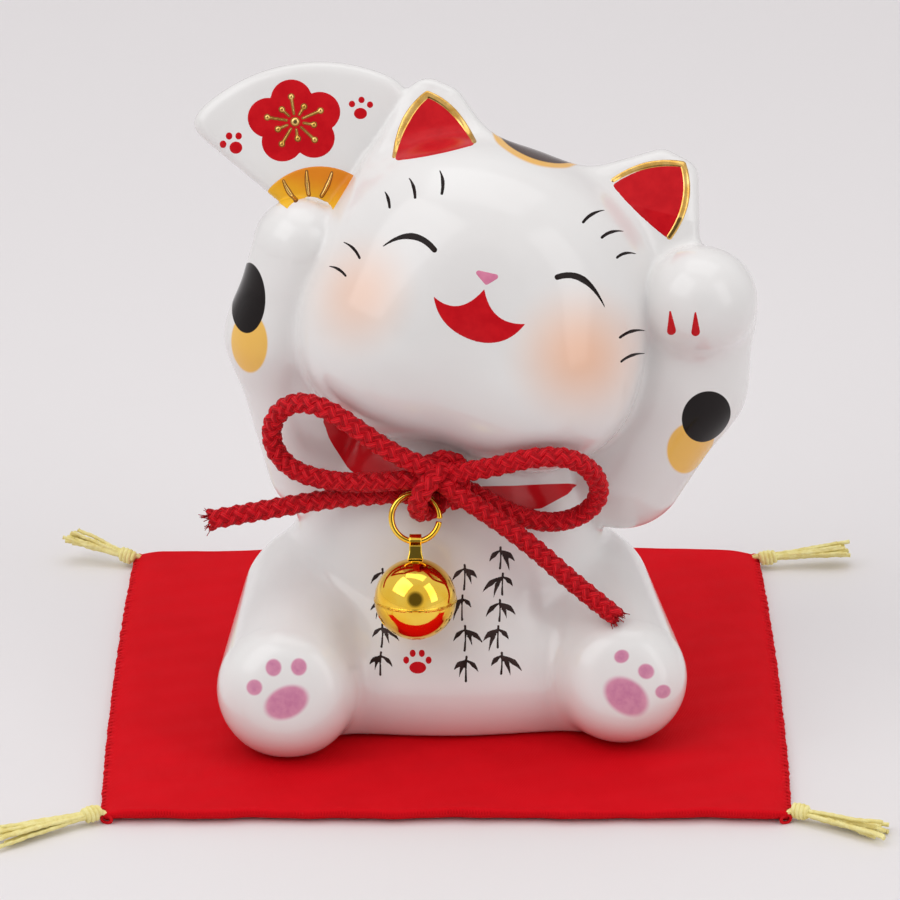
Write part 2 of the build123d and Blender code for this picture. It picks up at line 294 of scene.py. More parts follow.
class Finish:
    """A material built from nodes."""

    def __init__(self, name, **fixed):
        self.material = bpy.data.materials.new(name)
        self.material.use_nodes = True
        self.tree = self.material.node_tree
        self.shader = self.tree.nodes["Principled BSDF"]
        for socket, value in fixed.items():
            self.shader.inputs[socket.replace("_", " ")].default_value = value

    def node(self, kind, settings=None, values=(), output=0):
        made = self.tree.nodes.new("ShaderNode" + kind)
        for name, value in (settings or {}).items():
            setattr(made, name, value)
        for name, value in values.items() if isinstance(values, dict) else enumerate(values):
            if isinstance(value, Wire):
                self.tree.links.new(value.socket, made.inputs[name])
            else:
                made.inputs[name].default_value = value
        return Wire(self, made.outputs[output])

    def feed(self, socket, wire):
        self.tree.links.new(wire.socket, self.shader.inputs[socket])

    def place(self):
        return self.node("TexCoord", output="Object")

    def along(self):
        """The strand's own run and turn, from its UV map."""
        split = self.node("SeparateXYZ", values=[self.node("UVMap", {"uv_map": "along"})])
        return split, Wire(self, split.socket.node.outputs[1])

    def axes(self, plane):
        """Across, up and front of a plane, in millimetres."""
        centre, axes = plane
        offset = self.node("VectorMath", {"operation": "SUBTRACT"}, [self.place(), tuple(centre * MM)])
        return [self.node("VectorMath", {"operation": "DOT_PRODUCT"}, [offset, tuple(axis / MM)], "Value")
                for axis in axes]

    def noise(self, scale, detail=2.0, rough=0.5, where=None):
        where = where or self.place()
        values = {"Vector": where, "Scale": scale, "Detail": detail, "Roughness": rough}
        return self.node("TexNoise", {}, values)

    def fade(self, value, low, high):
        """0 at low and below, 1 at high and above."""
        settings = {"interpolation_type": "SMOOTHSTEP"}
        return self.node("MapRange", settings, {"Value": value, "From Min": low, "From Max": high})

    def colour(self, factor, first, second):
        """first where the factor is 0, second where it is 1."""
        return self.node("Mix", {"data_type": "RGBA"}, {0: factor, 6: first, 7: second}, 2)

    def bump(self, height, depth, strength=1.0):
        """Relief of a depth in millimetres."""
        values = {"Height": height, "Distance": depth * MM, "Strength": strength}
        self.feed("Normal", self.node("Bump", {}, values))


def paint(red, green, blue):
    return (red, green, blue, 1.0)


def oval(finish, first, second, centre, radii, turn=0.0, soft=0.1):
    """1 inside a soft-edged oval of two plane coordinates."""
    cos, sin = math.cos(math.radians(turn)), math.sin(math.radians(turn))
    x = first - centre[0]
    y = second - centre[1]
    long = (x * cos + y * sin) / radii[0]
    short = (y * cos - x * sin) / radii[1]
    return 1 - finish.fade((long * long + short * short) ** 0.5, 1 - soft, 1 + soft)


def patch(finish, centre, radii, soft):
    """1 inside an egg in the body's leaning axes, with its edge soft."""
    across, up, front = finish.axes((centre, BODY_AXES))
    terms = [(across / radii[0]), (up / radii[1]), (front / radii[2])]
    reach = (terms[0] * terms[0] + terms[1] * terms[1] + terms[2] * terms[2]) ** 0.5
    return 1 - finish.fade(reach, 1 - soft, 1 + soft)


def skin(across, up):
    """The point of the casting that lies in front of a place of the body's plane."""
    return drop_on(BODY_PLANE, np.array([[across, up]]))[0]


def drop_on(plane, places, far=70.0):
    """Places of a plane, moved back from the front until they meet the casting."""
    centre, axes = plane
    start = centre + places @ axes[:2]
    depth = np.full(len(places), far)
    for _ in range(90):
        gap = cat(start + depth[:, None] * axes[2])
        depth = depth - np.clip(gap, -2, 12) * 0.8
        if np.abs(gap).max() < 0.004:
            break
    return start + depth[:, None] * axes[2]


def glaze():
    """White glaze with the soft airbrushed colours under it."""
    finish = Finish("white_glaze", Coat_Roughness=0.13, Specular_IOR_Level=0.2)
    cloud = finish.noise(38.0, 3.0)
    tone = finish.colour(finish.fade(cloud, 0.35, 0.65), paint(0.78, 0.765, 0.755), paint(0.82, 0.81, 0.80))
    across, up, front = finish.axes(HEAD_PLANE)
    facing = finish.fade(front, 4.0, 9.0)
    for centre, radii, depth in (((-17.2, -5.6), (5.0, 5.6), 0.44), ((16.1, -5.6), (6.4, 6.2), 0.66)):
        glow = oval(finish, across, up, centre, radii, soft=0.95) * facing
        tone = finish.colour(glow * depth, tone, paint(0.90, 0.40, 0.17))
    on_top = finish.fade(up, 10.0, 12.0)
    ochre = oval(finish, across, front, (2.0, -1.5), (7.0, 11.6), soft=0.035) * on_top
    tan = finish.colour(cloud, paint(0.80, 0.37, 0.04), paint(0.90, 0.55, 0.12))
    tone = finish.colour(ochre, tone, tan)
    dark = oval(finish, across, front, (2.2, -4.4), (6.6, 12.8), soft=0.02) * on_top
    tone = finish.colour(dark, tone, paint(0.045, 0.022, 0.018))
    for centre, radii in ((skin(-29.0, 51.7), (2.85, 4.5, 9.0)), (skin(36.2, 36.2), (3.7, 4.25, 8.0))):
        yellow = patch(finish, centre, radii, 0.05)
        straw = finish.colour(cloud, paint(0.83, 0.43, 0.05), paint(0.93, 0.62, 0.16))
        tone = finish.colour(yellow, tone, straw)
    ink = None
    for centre, radii in ((skin(-29.2, 58.3), (2.85, 5.2, 9.0)), (skin(38.4, 40.7), (3.8, 4.0, 8.0))):
        black = patch(finish, centre, radii, 0.012)
        tone = finish.colour(black, tone, paint(0.006, 0.003, 0.003))
        ink = ink.higher(black) if ink else black
    across, up, front = finish.axes(BODY_PLANE)
    sole = finish.fade(front, 18.0, 20.0)
    blot = finish.noise(900.0, 2.0)
    for centre, radii, turn in (
        ((-28.0, 1.3), (1.15, 1.15), 0), ((-25.2, 4.2), (1.15, 1.25), 0), ((-21.5, 4.3), (1.15, 1.25), 0),
        ((-23.3, -0.9), (3.3, 2.3), 25), ((25.7, 5.7), (1.1, 0.95), 20), ((29.3, 3.5), (1.2, 1.1), -20),
        ((31.8, 0.5), (1.15, 1.0), 10), ((26.4, -0.2), (3.5, 2.5), -35),
    ):
        pad = oval(finish, across, up, centre, radii, turn, soft=0.16) * sole
        heart = oval(finish, across, up, centre, radii, turn, soft=0.7)
        mauve = finish.colour(heart * blot, paint(0.74, 0.30, 0.44), paint(0.48, 0.09, 0.26))
        tone = finish.colour(pad * 0.92, tone, mauve)
    collar = finish.node("Attribute", {"attribute_name": "collar"}, output="Fac")
    red = finish.fade(collar, -0.06, 0.06)
    tone = finish.colour(red, tone, paint(0.58, 0.008, 0.014))
    finish.feed("Coat Weight", 0.62 - 0.55 * red.higher(dark).higher(ink))
    finish.feed("Base Color", tone)
    finish.feed("Roughness", finish.fade(cloud, 0.2, 0.9) * 0.06 + 0.14)
    finish.bump(finish.noise(160.0, 2.0), 0.05, 0.35)
    return finish.material


def enamel(name, light, dark, rough=0.12, metal=0.0):
    """A painted or gilt coat that varies a little over its surface."""
    finish = Finish(name, Metallic=metal, Specular_IOR_Level=0.12)
    cloud = finish.noise(420.0, 3.0, 0.6)
    finish.feed("Base Color", finish.colour(finish.fade(cloud, 0.3, 0.7), light, dark))
    finish.feed("Roughness", cloud * 0.12 + rough)
    finish.bump(finish.noise(1500.0, 2.0), 0.02, 0.3)
    return finish.material


def fan_ochre():
    """The fan's painted heel, orange above and yellow below."""
    finish = Finish("fan_ochre", Specular_IOR_Level=0.15)
    across, up, front = finish.axes(FAN_PLANE)
    high = finish.fade(up + across * 0.25 + finish.noise(500.0) * 1.2, 3.8, 9.6)
    finish.feed("Base Color", finish.colour(high, paint(0.88, 0.50, 0.03), paint(0.74, 0.24, 0.02)))
    finish.feed("Roughness", finish.noise(300.0) * 0.1 + 0.12)
    return finish.material


def cord_silk():
    """Dyed strands of fine parallel fibre, with painted highlight on each fibre's crest and painted shade
    in the grooves between fibres.
    """
    finish = Finish("red_silk", Specular_IOR_Level=0.14)
    run, turn = finish.along()
    fibre = (turn * 62.8 + run * 1.6 + finish.noise(900.0) * 3.0).sine()
    blot = finish.fade(finish.noise(700.0, 3.0), 0.25, 0.75)
    deep = finish.colour(blot, paint(0.46, 0.002, 0.008), paint(0.64, 0.005, 0.014))
    # painted highlight on the fibres' crests and painted shade in the grooves between them, over the
    # blotched dyed red
    finish.feed("Base Color", finish.colour(finish.fade(fibre, -0.6, 1.0), deep, paint(0.80, 0.012, 0.022)))
    finish.feed("Roughness", fibre * 0.08 + 0.42)
    finish.bump(fibre, 0.05, 0.8)
    return finish.material


def mat_crepe():
    """Plain woven red cloth, with painted highlight on the threads' tops and painted shade in the weave's
    hollows.
    """
    finish = Finish("red_crepe", Specular_IOR_Level=0.05)
    split = finish.node("SeparateXYZ", values=[finish.place()])
    across, deep = split, Wire(finish, split.socket.node.outputs[1])
    wander = finish.noise(250.0, 2.0) * 1.6
    warp = (across * (math.tau / (0.42 * MM)) + wander).sine()
    weft = (deep * (math.tau / (0.46 * MM)) + wander).sine()
    weave = warp * weft
    slub = finish.fade(finish.noise(120.0, 4.0, 0.6), 0.3, 0.7)
    ground = finish.colour(slub, paint(0.58, 0.002, 0.007), paint(0.66, 0.003, 0.010))
    # painted highlight where the weave rises and painted shade where it sinks, over the slubby dyed ground
    thread = finish.fade(weave, -0.8, 1.0)
    finish.feed("Base Color", finish.colour(thread, ground, paint(0.74, 0.006, 0.013)))
    finish.feed("Roughness", weave * 0.05 + 0.72)
    finish.bump(weave + finish.noise(900.0, 2.0) * 0.6, 0.045, 0.7)
    return finish.material


def spun(name, light, dark, scale=700.0, rough=0.7):
    """Spun yarn or thread."""
    finish = Finish(name, Specular_IOR_Level=0.12)
    fuzz = finish.noise(scale, 4.0, 0.65)
    finish.feed("Base Color", finish.colour(finish.fade(fuzz, 0.3, 0.7), dark, light))
    finish.feed("Roughness", fuzz * 0.15 + rough)
    finish.bump(fuzz, 0.08, 0.7)
    return finish.material


def plating(name, light, dark, rough):
    """Bright metal with faint polishing marks."""
    finish = Finish(name, Metallic=1.0)
    cloud = finish.noise(260.0, 3.0)
    finish.feed("Base Color", finish.colour(finish.fade(cloud, 0.35, 0.65), light, dark))
    finish.feed("Roughness", cloud * 0.05 + rough)
    finish.bump(finish.noise(900.0, 3.0), 0.01, 0.12)
    return finish.material


def clear_glue():
    finish = Finish("clear_glue", Transmission_Weight=0.8, IOR=1.45)
    haze = finish.noise(600.0)
    finish.feed("Base Color", finish.colour(haze, paint(0.8, 0.78, 0.7), paint(0.9, 0.9, 0.86)))
    finish.feed("Roughness", finish.noise(900.0) * 0.1 + 0.12)
    return finish.material


WHITE_GLAZE = glaze()
BLACK_ENAMEL = enamel("black_enamel", paint(0.008, 0.004, 0.004), paint(0.016, 0.008, 0.007))
BRUSH_INK = enamel("brush_ink", paint(0.022, 0.012, 0.010), paint(0.05, 0.03, 0.028), 0.2)
RED_ENAMEL = enamel("red_enamel", paint(0.60, 0.010, 0.016), paint(0.52, 0.006, 0.012))
ROSE_ENAMEL = enamel("rose_enamel", paint(0.72, 0.25, 0.38), paint(0.62, 0.17, 0.30))
GOLD_LUSTRE = enamel("gold_lustre", paint(0.86, 0.58, 0.20), paint(0.62, 0.33, 0.06), 0.14, 1.0)
GOLD_SHADE = enamel("gold_shade", paint(0.30, 0.12, 0.02), paint(0.20, 0.07, 0.01), 0.2)
FAN_OCHRE = fan_ochre()
RED_SILK = cord_silk()
RED_CREPE = mat_crepe()
RED_THREAD = spun("red_overlock", paint(0.74, 0.010, 0.018), paint(0.58, 0.004, 0.010))
YELLOW_YARN = spun("yellow_yarn", paint(0.93, 0.86, 0.42), paint(0.80, 0.68, 0.24))
WHITE_WADDING = spun("white_wadding", paint(0.85, 0.85, 0.83), paint(0.7, 0.7, 0.68), 300.0, 0.85)
GOLD_PLATE = plating("gold_plate", paint(1.0, 0.67, 0.09), paint(0.98, 0.58, 0.05), 0.05)
BRIGHT_STEEL = plating("bright_steel", paint(0.6, 0.6, 0.62), paint(0.5, 0.5, 0.52), 0.2)
CLEAR_GLUE = clear_glue()


# --- meshes --------------------------------------------------------------------------------------------
def mesh_object(name, points, faces, material, uv=None):
    """A smooth mesh piece from points in millimetres."""
    mesh = bpy.data.meshes.new(name)
    faces = faces.tolist() if isinstance(faces, np.ndarray) else faces
    mesh.from_pydata((np.asarray(points) * MM).tolist(), [], faces)
    mesh.polygons.foreach_set("use_smooth", [True] * len(mesh.polygons))
    if uv is not None:
        corners = np.empty(len(mesh.loops), np.int32)
        mesh.loops.foreach_get("vertex_index", corners)
        layer = mesh.uv_layers.new(name="along")
        layer.data.foreach_set("uv", np.asarray(uv, np.float32)[corners].ravel())
    mesh.materials.append(material)
    mesh.update()
    piece = bpy.data.objects.new(name, mesh)
    bpy.context.scene.collection.objects.link(piece)
    return piece


def shade_by(piece, field, points):
    """Normals straight from the field, so that a mirror finish has no ripples."""
    g = slope(field, points)
    g /= np.linalg.norm(g, axis=1)[:, None]
    piece.data.normals_split_custom_set_from_vertices(g.tolist())


def show(piece, body, slot, *nodes):
    """Rides a finished piece on its body and hides the imported parts that it stands for."""
    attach(piece, body)
    if nodes:
        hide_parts(*nodes)
    return piece


def frames(path):
    """Tangents and two side axes that don't twist along a path."""
    forward = np.gradient(path, axis=0)
    forward /= np.linalg.norm(forward, axis=1)[:, None]
    side = np.cross(forward[0], [0.31, 0.22, 0.92])
    side /= np.linalg.norm(side)
    sides = []
    for direction in forward:
        side = side - direction * (side @ direction)
        side /= np.linalg.norm(side)
        sides.append(side)
    sides = np.array(sides)
    return forward, sides, np.cross(forward, sides)


def even(path, step):
    """The same path with its points a step apart."""
    run = np.concatenate([[0], np.cumsum(np.linalg.norm(np.diff(path, axis=0), axis=1))])
    places = np.linspace(0, run[-1], max(3, int(run[-1] / step) + 1))
    return np.stack([np.interp(places, run, path[:, k]) for k in range(3)], 1), places


class Bundle:
    """Tubes gathered into one mesh."""

    def __init__(self):
        self.points, self.faces, self.uv, self.count = [], [], [], 0

    def tube(self, path, run, wide, deep, outward=None, sides=8):
        """A tube of an oval section, with its deep side towards outward, and closed ends."""
        forward, side, other = frames(path)
        if outward is not None:
            side = outward - forward * (outward * forward).sum(1)[:, None]
            side /= np.linalg.norm(side, axis=1)[:, None]
            other = np.cross(forward, side)
        angle = np.arange(sides) * math.tau / sides
        wide = np.broadcast_to(wide, len(path))[:, None, None]
        deep = np.broadcast_to(deep, len(path))[:, None, None]
        ring = (path[:, None] + deep * np.cos(angle)[None, :, None] * side[:, None]
                + wide * np.sin(angle)[None, :, None] * other[:, None])
        self.points.append(ring.reshape(-1, 3))
        uv = np.broadcast_arrays(run[:, None], angle[None] / math.tau)
        self.uv.append(np.stack(uv, -1).reshape(-1, 2))
        i = np.arange(len(path) - 1)[:, None] * sides
        j = np.arange(sides)[None]
        k = (j + 1) % sides
        quads = np.stack(np.broadcast_arrays(i + j, i + k, i + sides + k, i + sides + j), -1)
        quads = quads.reshape(-1, 4)
        last = (len(path) - 1) * sides
        self.faces += (quads + self.count).tolist()
        self.faces.append([self.count + n for n in range(sides)][::-1])
        self.faces.append([self.count + last + n for n in range(sides)])
        self.count += len(path) * sides

    def piece(self, name, material):
        return mesh_object(name, np.concatenate(self.points), self.faces, material, np.concatenate(self.uv))


# --- Geometry Nodes ------------------------------------------------------------------------------------
class Recipe:
    """A Geometry Nodes tree with named inputs."""

    def __init__(self, name, inputs):
        self.tree = bpy.data.node_groups.new(name, "GeometryNodeTree")
        self.tree.interface.new_socket("Geometry", in_out="OUTPUT", socket_type="NodeSocketGeometry")
        self.keys = {}
        for label, kind in inputs.items():
            made = self.tree.interface.new_socket(label, in_out="INPUT", socket_type="NodeSocket" + kind)
            self.keys[label] = made.identifier
        self.given = self.tree.nodes.new("NodeGroupInput")
        self.taken = self.tree.nodes.new("NodeGroupOutput")

    def input(self, label):
        return next(s for s in self.given.outputs if s.identifier == self.keys[label])

    def node(self, kind, settings=None, values=(), output=0):
        made = self.tree.nodes.new(kind)
        for name, value in (settings or {}).items():
            setattr(made, name, value)
        for name, value in values.items() if isinstance(values, dict) else enumerate(values):
            if isinstance(value, bpy.types.NodeSocket):
                self.tree.links.new(value, made.inputs[name])
            elif value is not None:
                made.inputs[name].default_value = value
        return made.outputs[output]

    def math(self, operation, *values):
        return self.node("ShaderNodeMath", {"operation": operation}, values)

    def vector(self, operation, *values):
        values = dict(enumerate(values))
        if operation == "SCALE":
            values = {0: values[0], "Scale": values[1]}
        return self.node("ShaderNodeVectorMath", {"operation": operation}, values)

    def finish(self, geometry):
        """Ends the tree in plain, painted geometry."""
        solid = self.node("GeometryNodeRealizeInstances", values=[geometry])
        painted = self.node("GeometryNodeSetMaterial", {}, {
            "Geometry": solid, "Material": self.input("Material")})
        smooth = self.node("GeometryNodeSetShadeSmooth", {}, {"Geometry": painted})
        self.tree.links.new(smooth, self.taken.inputs[0])

    def make(self, name, **values):
        """The tree's result as a plain mesh object."""
        piece = bpy.data.objects.new(name, bpy.data.meshes.new(name))
        bpy.context.scene.collection.objects.link(piece)
        modifier = piece.modifiers.new(name, "NODES")
        modifier.node_group = self.tree
        for label, value in values.items():
            modifier[self.keys[label]] = value
        ready = piece.evaluated_get(bpy.context.evaluated_depsgraph_get())
        mesh = bpy.data.meshes.new_from_object(ready)
        piece.modifiers.clear()
        piece.data = mesh
        return piece


def overlock():
    """Loops of thread that wrap an edge, one after another."""
    recipe = Recipe("overlock_stitches", {
        "Start": "Vector", "End": "Vector", "Stitches": "Int", "Wrap": "Vector", "Thread": "Float",
        "Slant": "Float", "Material": "Material",
    })
    ring = recipe.node("GeometryNodeCurvePrimitiveCircle", {"mode": "RADIUS"},
                       {"Resolution": 12, "Radius": 1.0})
    upright = recipe.node("GeometryNodeTransform", {}, {
        "Geometry": ring, "Rotation": (math.pi / 2, 0, 0), "Scale": recipe.input("Wrap")})
    section = recipe.node("GeometryNodeCurvePrimitiveCircle", {"mode": "RADIUS"},
                          {"Resolution": 5, "Radius": recipe.input("Thread")})
    loop = recipe.node("GeometryNodeCurveToMesh", {}, {"Curve": upright, "Profile Curve": section})
    row = recipe.node("GeometryNodeMeshLine", {"mode": "END_POINTS"}, {
        "Count": recipe.input("Stitches"),
        "Start Location": recipe.input("Start"),
        "Offset": recipe.input("End"),
    })
    wobble = recipe.node("FunctionNodeRandomValue", {"data_type": "FLOAT"},
                         {"Min": -0.12, "Max": 0.12, "Seed": 4}, 1)
    slant = recipe.math("ADD", recipe.input("Slant"), wobble)
    turn = recipe.node("ShaderNodeCombineXYZ", values={"Z": slant})
    size = recipe.node("FunctionNodeRandomValue", {"data_type": "FLOAT"},
                       {"Min": 0.9, "Max": 1.06, "Seed": 9}, 1)
    recipe.finish(recipe.node("GeometryNodeInstanceOnPoints", {}, {
        "Points": row, "Instance": loop, "Rotation": turn, "Scale": size}))
    return recipe


YARN_FLAT = 0.55                   # a tassel's height as a share of its width


def yarn_brush():
    """Yarns that leave a knot together and spread towards their cut ends."""
    recipe = Recipe("tassel_yarns", {
        "Root": "Vector", "Tip": "Vector", "Side": "Vector", "Lift": "Vector", "Yarns": "Int",
        "Spread": "Float", "Yarn": "Float", "Curl": "Float", "Seed": "Int", "Material": "Material",
    })
    starts = recipe.node("GeometryNodeMeshLine", {"mode": "OFFSET"}, {
        "Count": recipe.input("Yarns"), "Offset": (0.0, 0.0, 0.0)})
    line = recipe.node("GeometryNodeCurvePrimitiveLine", {"mode": "POINTS"}, {"End": (0.0, 0.0, 1.0)})
    line = recipe.node("GeometryNodeResampleCurve", {"mode": "COUNT"}, {"Curve": line, "Count": 26})
    copies = recipe.node("GeometryNodeInstanceOnPoints", {}, {"Points": starts, "Instance": line})
    tagged = recipe.node("GeometryNodeStoreNamedAttribute", {"data_type": "INT", "domain": "INSTANCE"}, {
        "Geometry": copies, "Name": "yarn", "Value": recipe.node("GeometryNodeInputIndex")})
    yarns = recipe.node("GeometryNodeRealizeInstances", values=[tagged])
    number = recipe.node("GeometryNodeInputNamedAttribute", {"data_type": "INT"}, {"Name": "yarn"})

    def chance(low, high, shift):
        seed = recipe.math("ADD", recipe.input("Seed"), shift)
        values = {2: low, 3: high, "ID": number, "Seed": seed}
        return recipe.node("FunctionNodeRandomValue", {"data_type": "FLOAT"}, values, 1)

    part = recipe.node("GeometryNodeSplineParameter")
    reach = recipe.math("MULTIPLY", part, chance(0.86, 1.0, 1.0))
    open_up = recipe.math("ADD", 0.22, recipe.math("MULTIPLY", recipe.math("POWER", reach, 1.2), 0.78))
    away = recipe.math("MULTIPLY", recipe.math("POWER", chance(0.0, 1.0, 2.0), 0.6), open_up)
    away = recipe.math("MULTIPLY", away, recipe.input("Spread"))
    angle = chance(0.0, math.tau, 3.0)
    side = recipe.vector("SCALE", recipe.input("Side"),
                         recipe.math("MULTIPLY", away, recipe.math("COSINE", angle)))
    height = recipe.math("MULTIPLY", YARN_FLAT, recipe.math("SINE", angle))
    lift = recipe.vector("SCALE", recipe.input("Lift"), recipe.math("MULTIPLY", away, height))
    span = recipe.vector("SUBTRACT", recipe.input("Tip"), recipe.input("Root"))
    place = recipe.vector("ADD", recipe.input("Root"), recipe.vector("SCALE", span, reach))
    wave_at = recipe.node("ShaderNodeCombineXYZ", values={
        0: recipe.math("MULTIPLY", reach, 3.2),
        1: recipe.math("MULTIPLY", number, 5.3),
        2: recipe.input("Seed"),
    })
    noise = recipe.node("ShaderNodeTexNoise", {}, {"Vector": wave_at, "Scale": 1.0, "Detail": 1.0}, "Color")
    curl = recipe.vector("SCALE", recipe.vector("SUBTRACT", noise, (0.5, 0.5, 0.5)),
                         recipe.math("MULTIPLY", recipe.input("Curl"), reach))
    flat = recipe.vector("MULTIPLY", curl, (1.0, 1.0, 0.35))
    place = recipe.vector("ADD", recipe.vector("ADD", place, flat), recipe.vector("ADD", side, lift))
    moved = recipe.node("GeometryNodeSetPosition", {}, {"Geometry": yarns, "Position": place})
    ply = recipe.math("SINE", recipe.math("ADD", recipe.math("MULTIPLY", reach, 60.0), number))
    thick = recipe.math("ADD", 1.0, recipe.math("MULTIPLY", ply, 0.14))
    section = recipe.node("GeometryNodeCurvePrimitiveCircle", {"mode": "RADIUS"},
                          {"Resolution": 6, "Radius": recipe.input("Yarn")})
    swept = recipe.node("GeometryNodeCurveToMesh", {}, {
        "Curve": moved, "Profile Curve": section, "Scale": thick, "Fill Caps": True})
    recipe.finish(swept)
    return recipe


# --- camera, floor and light ---------------------------------------------------------------------------
def set_stage():
    camera = bpy.data.objects.new("camera", bpy.data.cameras.new("camera"))
    bpy.context.scene.collection.objects.link(camera)
    camera.location = Vector((0.553, -766.94, 357.63)) * MM
    target = Vector((0.553, 0.0, 38.95)) * MM
    camera.rotation_euler = (target - camera.location).to_track_quat("-Z", "Y").to_euler()
    camera.data.sensor_width = 36.0
    camera.data.lens = 222.08
    camera.data.clip_start = 0.01
    camera.data.clip_end = 20.0
    bpy.context.scene.camera = camera

    mesh = bpy.data.meshes.new("floor")
    reach, back, rise, bend = 1.6, 0.9, 1.2, 0.35
    rows = [(-reach, 0.0)] + [(back + bend * math.sin(t), bend * (1 - math.cos(t)))
                              for t in np.linspace(0, math.pi / 2, 17)] + [(back + bend, rise)]
    points = [(x, y, z) for y, z in rows for x in (-reach, reach)]
    faces = [(2 * i, 2 * i + 1, 2 * i + 3, 2 * i + 2) for i in range(len(rows) - 1)]
    mesh.from_pydata(points, [], faces)
    mesh.polygons.foreach_set("use_smooth", [True] * len(faces))
    floor = bpy.data.objects.new("floor", mesh)
    bpy.context.scene.collection.objects.link(floor)
    paper = bpy.data.materials.new("floor_paper")
    paper.use_nodes = True
    shader = paper.node_tree.nodes["Principled BSDF"]
    shader.inputs["Base Color"].default_value = (0.80, 0.775, 0.782, 1)
    shader.inputs["Roughness"].default_value = 0.6
    mesh.materials.append(paper)

    world = bpy.data.worlds.new("studio")
    world.use_nodes = True
    world.node_tree.nodes["Background"].inputs["Color"].default_value = (1.0, 0.985, 0.99, 1)
    # the front of the room is dim, which the bright metal shows
    tree = world.node_tree
    way = tree.nodes.new("ShaderNodeTexCoord")
    towards = tree.nodes.new("ShaderNodeVectorMath")
    towards.operation = "DOT_PRODUCT"
    towards.inputs[1].default_value = (0.0, -0.925, 0.38)
    dim = tree.nodes.new("ShaderNodeMapRange")
    for socket, value in (("From Min", 0.90), ("From Max", 0.96), ("To Min", 0.72), ("To Max", 0.10)):
        dim.inputs[socket].default_value = value
    tree.links.new(way.outputs["Generated"], towards.inputs[0])
    tree.links.new(towards.outputs["Value"], dim.inputs["Value"])
    tree.links.new(dim.outputs["Result"], tree.nodes["Background"].inputs["Strength"])
    bpy.context.scene.world = world
    for name, place, size, watts in (
        ("key_softbox", (-0.55, -0.35, 0.75), (0.75, 0.75), 2.6),
        ("fill_softbox", (0.65, -0.45, 0.5), (0.35, 0.80), 1.1),
        ("top_softbox", (0.05, 0.15, 0.95), (0.80, 0.60), 1.4),
    ):
        light = bpy.data.lights.new(name, "AREA")
        light.shape = "RECTANGLE"
        light.size, light.size_y = size
        light.energy = watts
        lamp = bpy.data.objects.new(name, light)
        lamp.location = place
        lamp.rotation_euler = (Vector((0, 0, 0.04)) - Vector(place)).to_track_quat("-Z", "Y").to_euler()
        bpy.context.scene.collection.objects.link(lamp)


# --- bow: braided cord ---------------------------------------------------------------------------------
BRAID_PITCH = 8.0                  # a strand's run for one turn
BRAID_RADIUS = 0.86                # of the strands' centres
BRAID_WAVE = 0.28                  # how far a strand rises over its neighbour
STRAND_WIDE, STRAND_DEEP = 0.66, 0.46
BRAID_STEP = 0.26
CUT_FLARE = 1.5                    # how far from a cut end the strands loosen

# Each route is the cord's centreline from the knot outwards, in metres.
LEFT_LOOP = [
    (-0.0012, -0.0214, 0.0440), (-0.0036, -0.0218, 0.0456), (-0.0077, -0.0222, 0.0476),
    (-0.0122, -0.0220, 0.0508), (-0.0174, -0.0202, 0.0540), (-0.0222, -0.0168, 0.0538),
    (-0.0255, -0.0142, 0.0499), (-0.0257, -0.0134, 0.0452), (-0.0230, -0.0142, 0.0418),
    (-0.0182, -0.0162, 0.0409), (-0.0126, -0.0186, 0.0414), (-0.0073, -0.0202, 0.0425),
    (-0.0032, -0.0208, 0.0431),
]
RIGHT_LOOP = [
    (0.0004, -0.0212, 0.0438), (0.0029, -0.0222, 0.0448), (0.0072, -0.0240, 0.0463),
    (0.0121, -0.0254, 0.0483), (0.0174, -0.0246, 0.0482), (0.0214, -0.0214, 0.0447),
    (0.0228, -0.0176, 0.0394), (0.0206, -0.0156, 0.0352), (0.0159, -0.0160, 0.0338),
    (0.0108, -0.0174, 0.0355), (0.0067, -0.0182, 0.0381), (0.0030, -0.0186, 0.0404),
]
LEFT_TAIL = [
    (-0.0018, -0.0178, 0.0400), (-0.0033, -0.0176, 0.0394), (-0.0085, -0.0172, 0.0391),
    (-0.0147, -0.0152, 0.0378), (-0.0212, -0.0138, 0.0362), (-0.0284, -0.0136, 0.0347),
    (-0.0351, -0.0146, 0.0338),
]
RIGHT_TAIL = [
    (-0.0008, -0.0218, 0.0430), (0.0014, -0.0225, 0.0416), (0.0052, -0.0222, 0.0387),
    (0.0093, -0.0218, 0.0355), (0.0136, -0.0210, 0.0315), (0.0177, -0.0210, 0.0275),
    (0.0217, -0.0218, 0.0243), (0.0252, -0.0236, 0.0220),
]


def laid(route, name):
    """The smooth line of a route, in metres, as the route's NURBS spline gives it."""
    curve = bpy.data.curves.new(name, "CURVE")
    curve.dimensions = "3D"
    curve.resolution_u = 16
    spline = curve.splines.new("NURBS")
    spline.points.add(len(route) - 1)
    for point, place in zip(spline.points, route):
        point.co = (*place, 1.0)
    spline.order_u = 3
    spline.use_endpoint_u = True
    guide = bpy.data.objects.new(name, curve)
    mesh = bpy.data.meshes.new_from_object(guide)
    line = np.array([tuple(v.co) for v in mesh.vertices])
    bpy.data.objects.remove(guide)
    return line


def braid(bundle, line, end_cut=False):
    """Eight strands plaited round a line in millimetres, four each way, each over one and under one."""
    path, run = even(line, BRAID_STEP)
    forward, side, other = frames(path)
    length = run[-1]
    flare = np.zeros(len(run))
    if end_cut:
        flare = np.clip((run - length + CUT_FLARE) / CUT_FLARE, 0, 1) ** 2
    for way in (1, -1):
        for k in range(4):
            angle = way * math.tau * run / BRAID_PITCH + k * math.pi / 2
            lift = way * BRAID_WAVE * np.cos(4 * math.tau * run / BRAID_PITCH)
            radius = BRAID_RADIUS + lift + 0.22 * flare
            outward = np.cos(angle)[:, None] * side + np.sin(angle)[:, None] * other
            strand = path + radius[:, None] * outward
            keep = run <= length + (RNG.uniform(-0.45, 0.0) if end_cut else 0.0)
            bundle.tube(strand[keep], run[keep] + 3.1 * k, STRAND_WIDE, STRAND_DEEP, outward[keep])


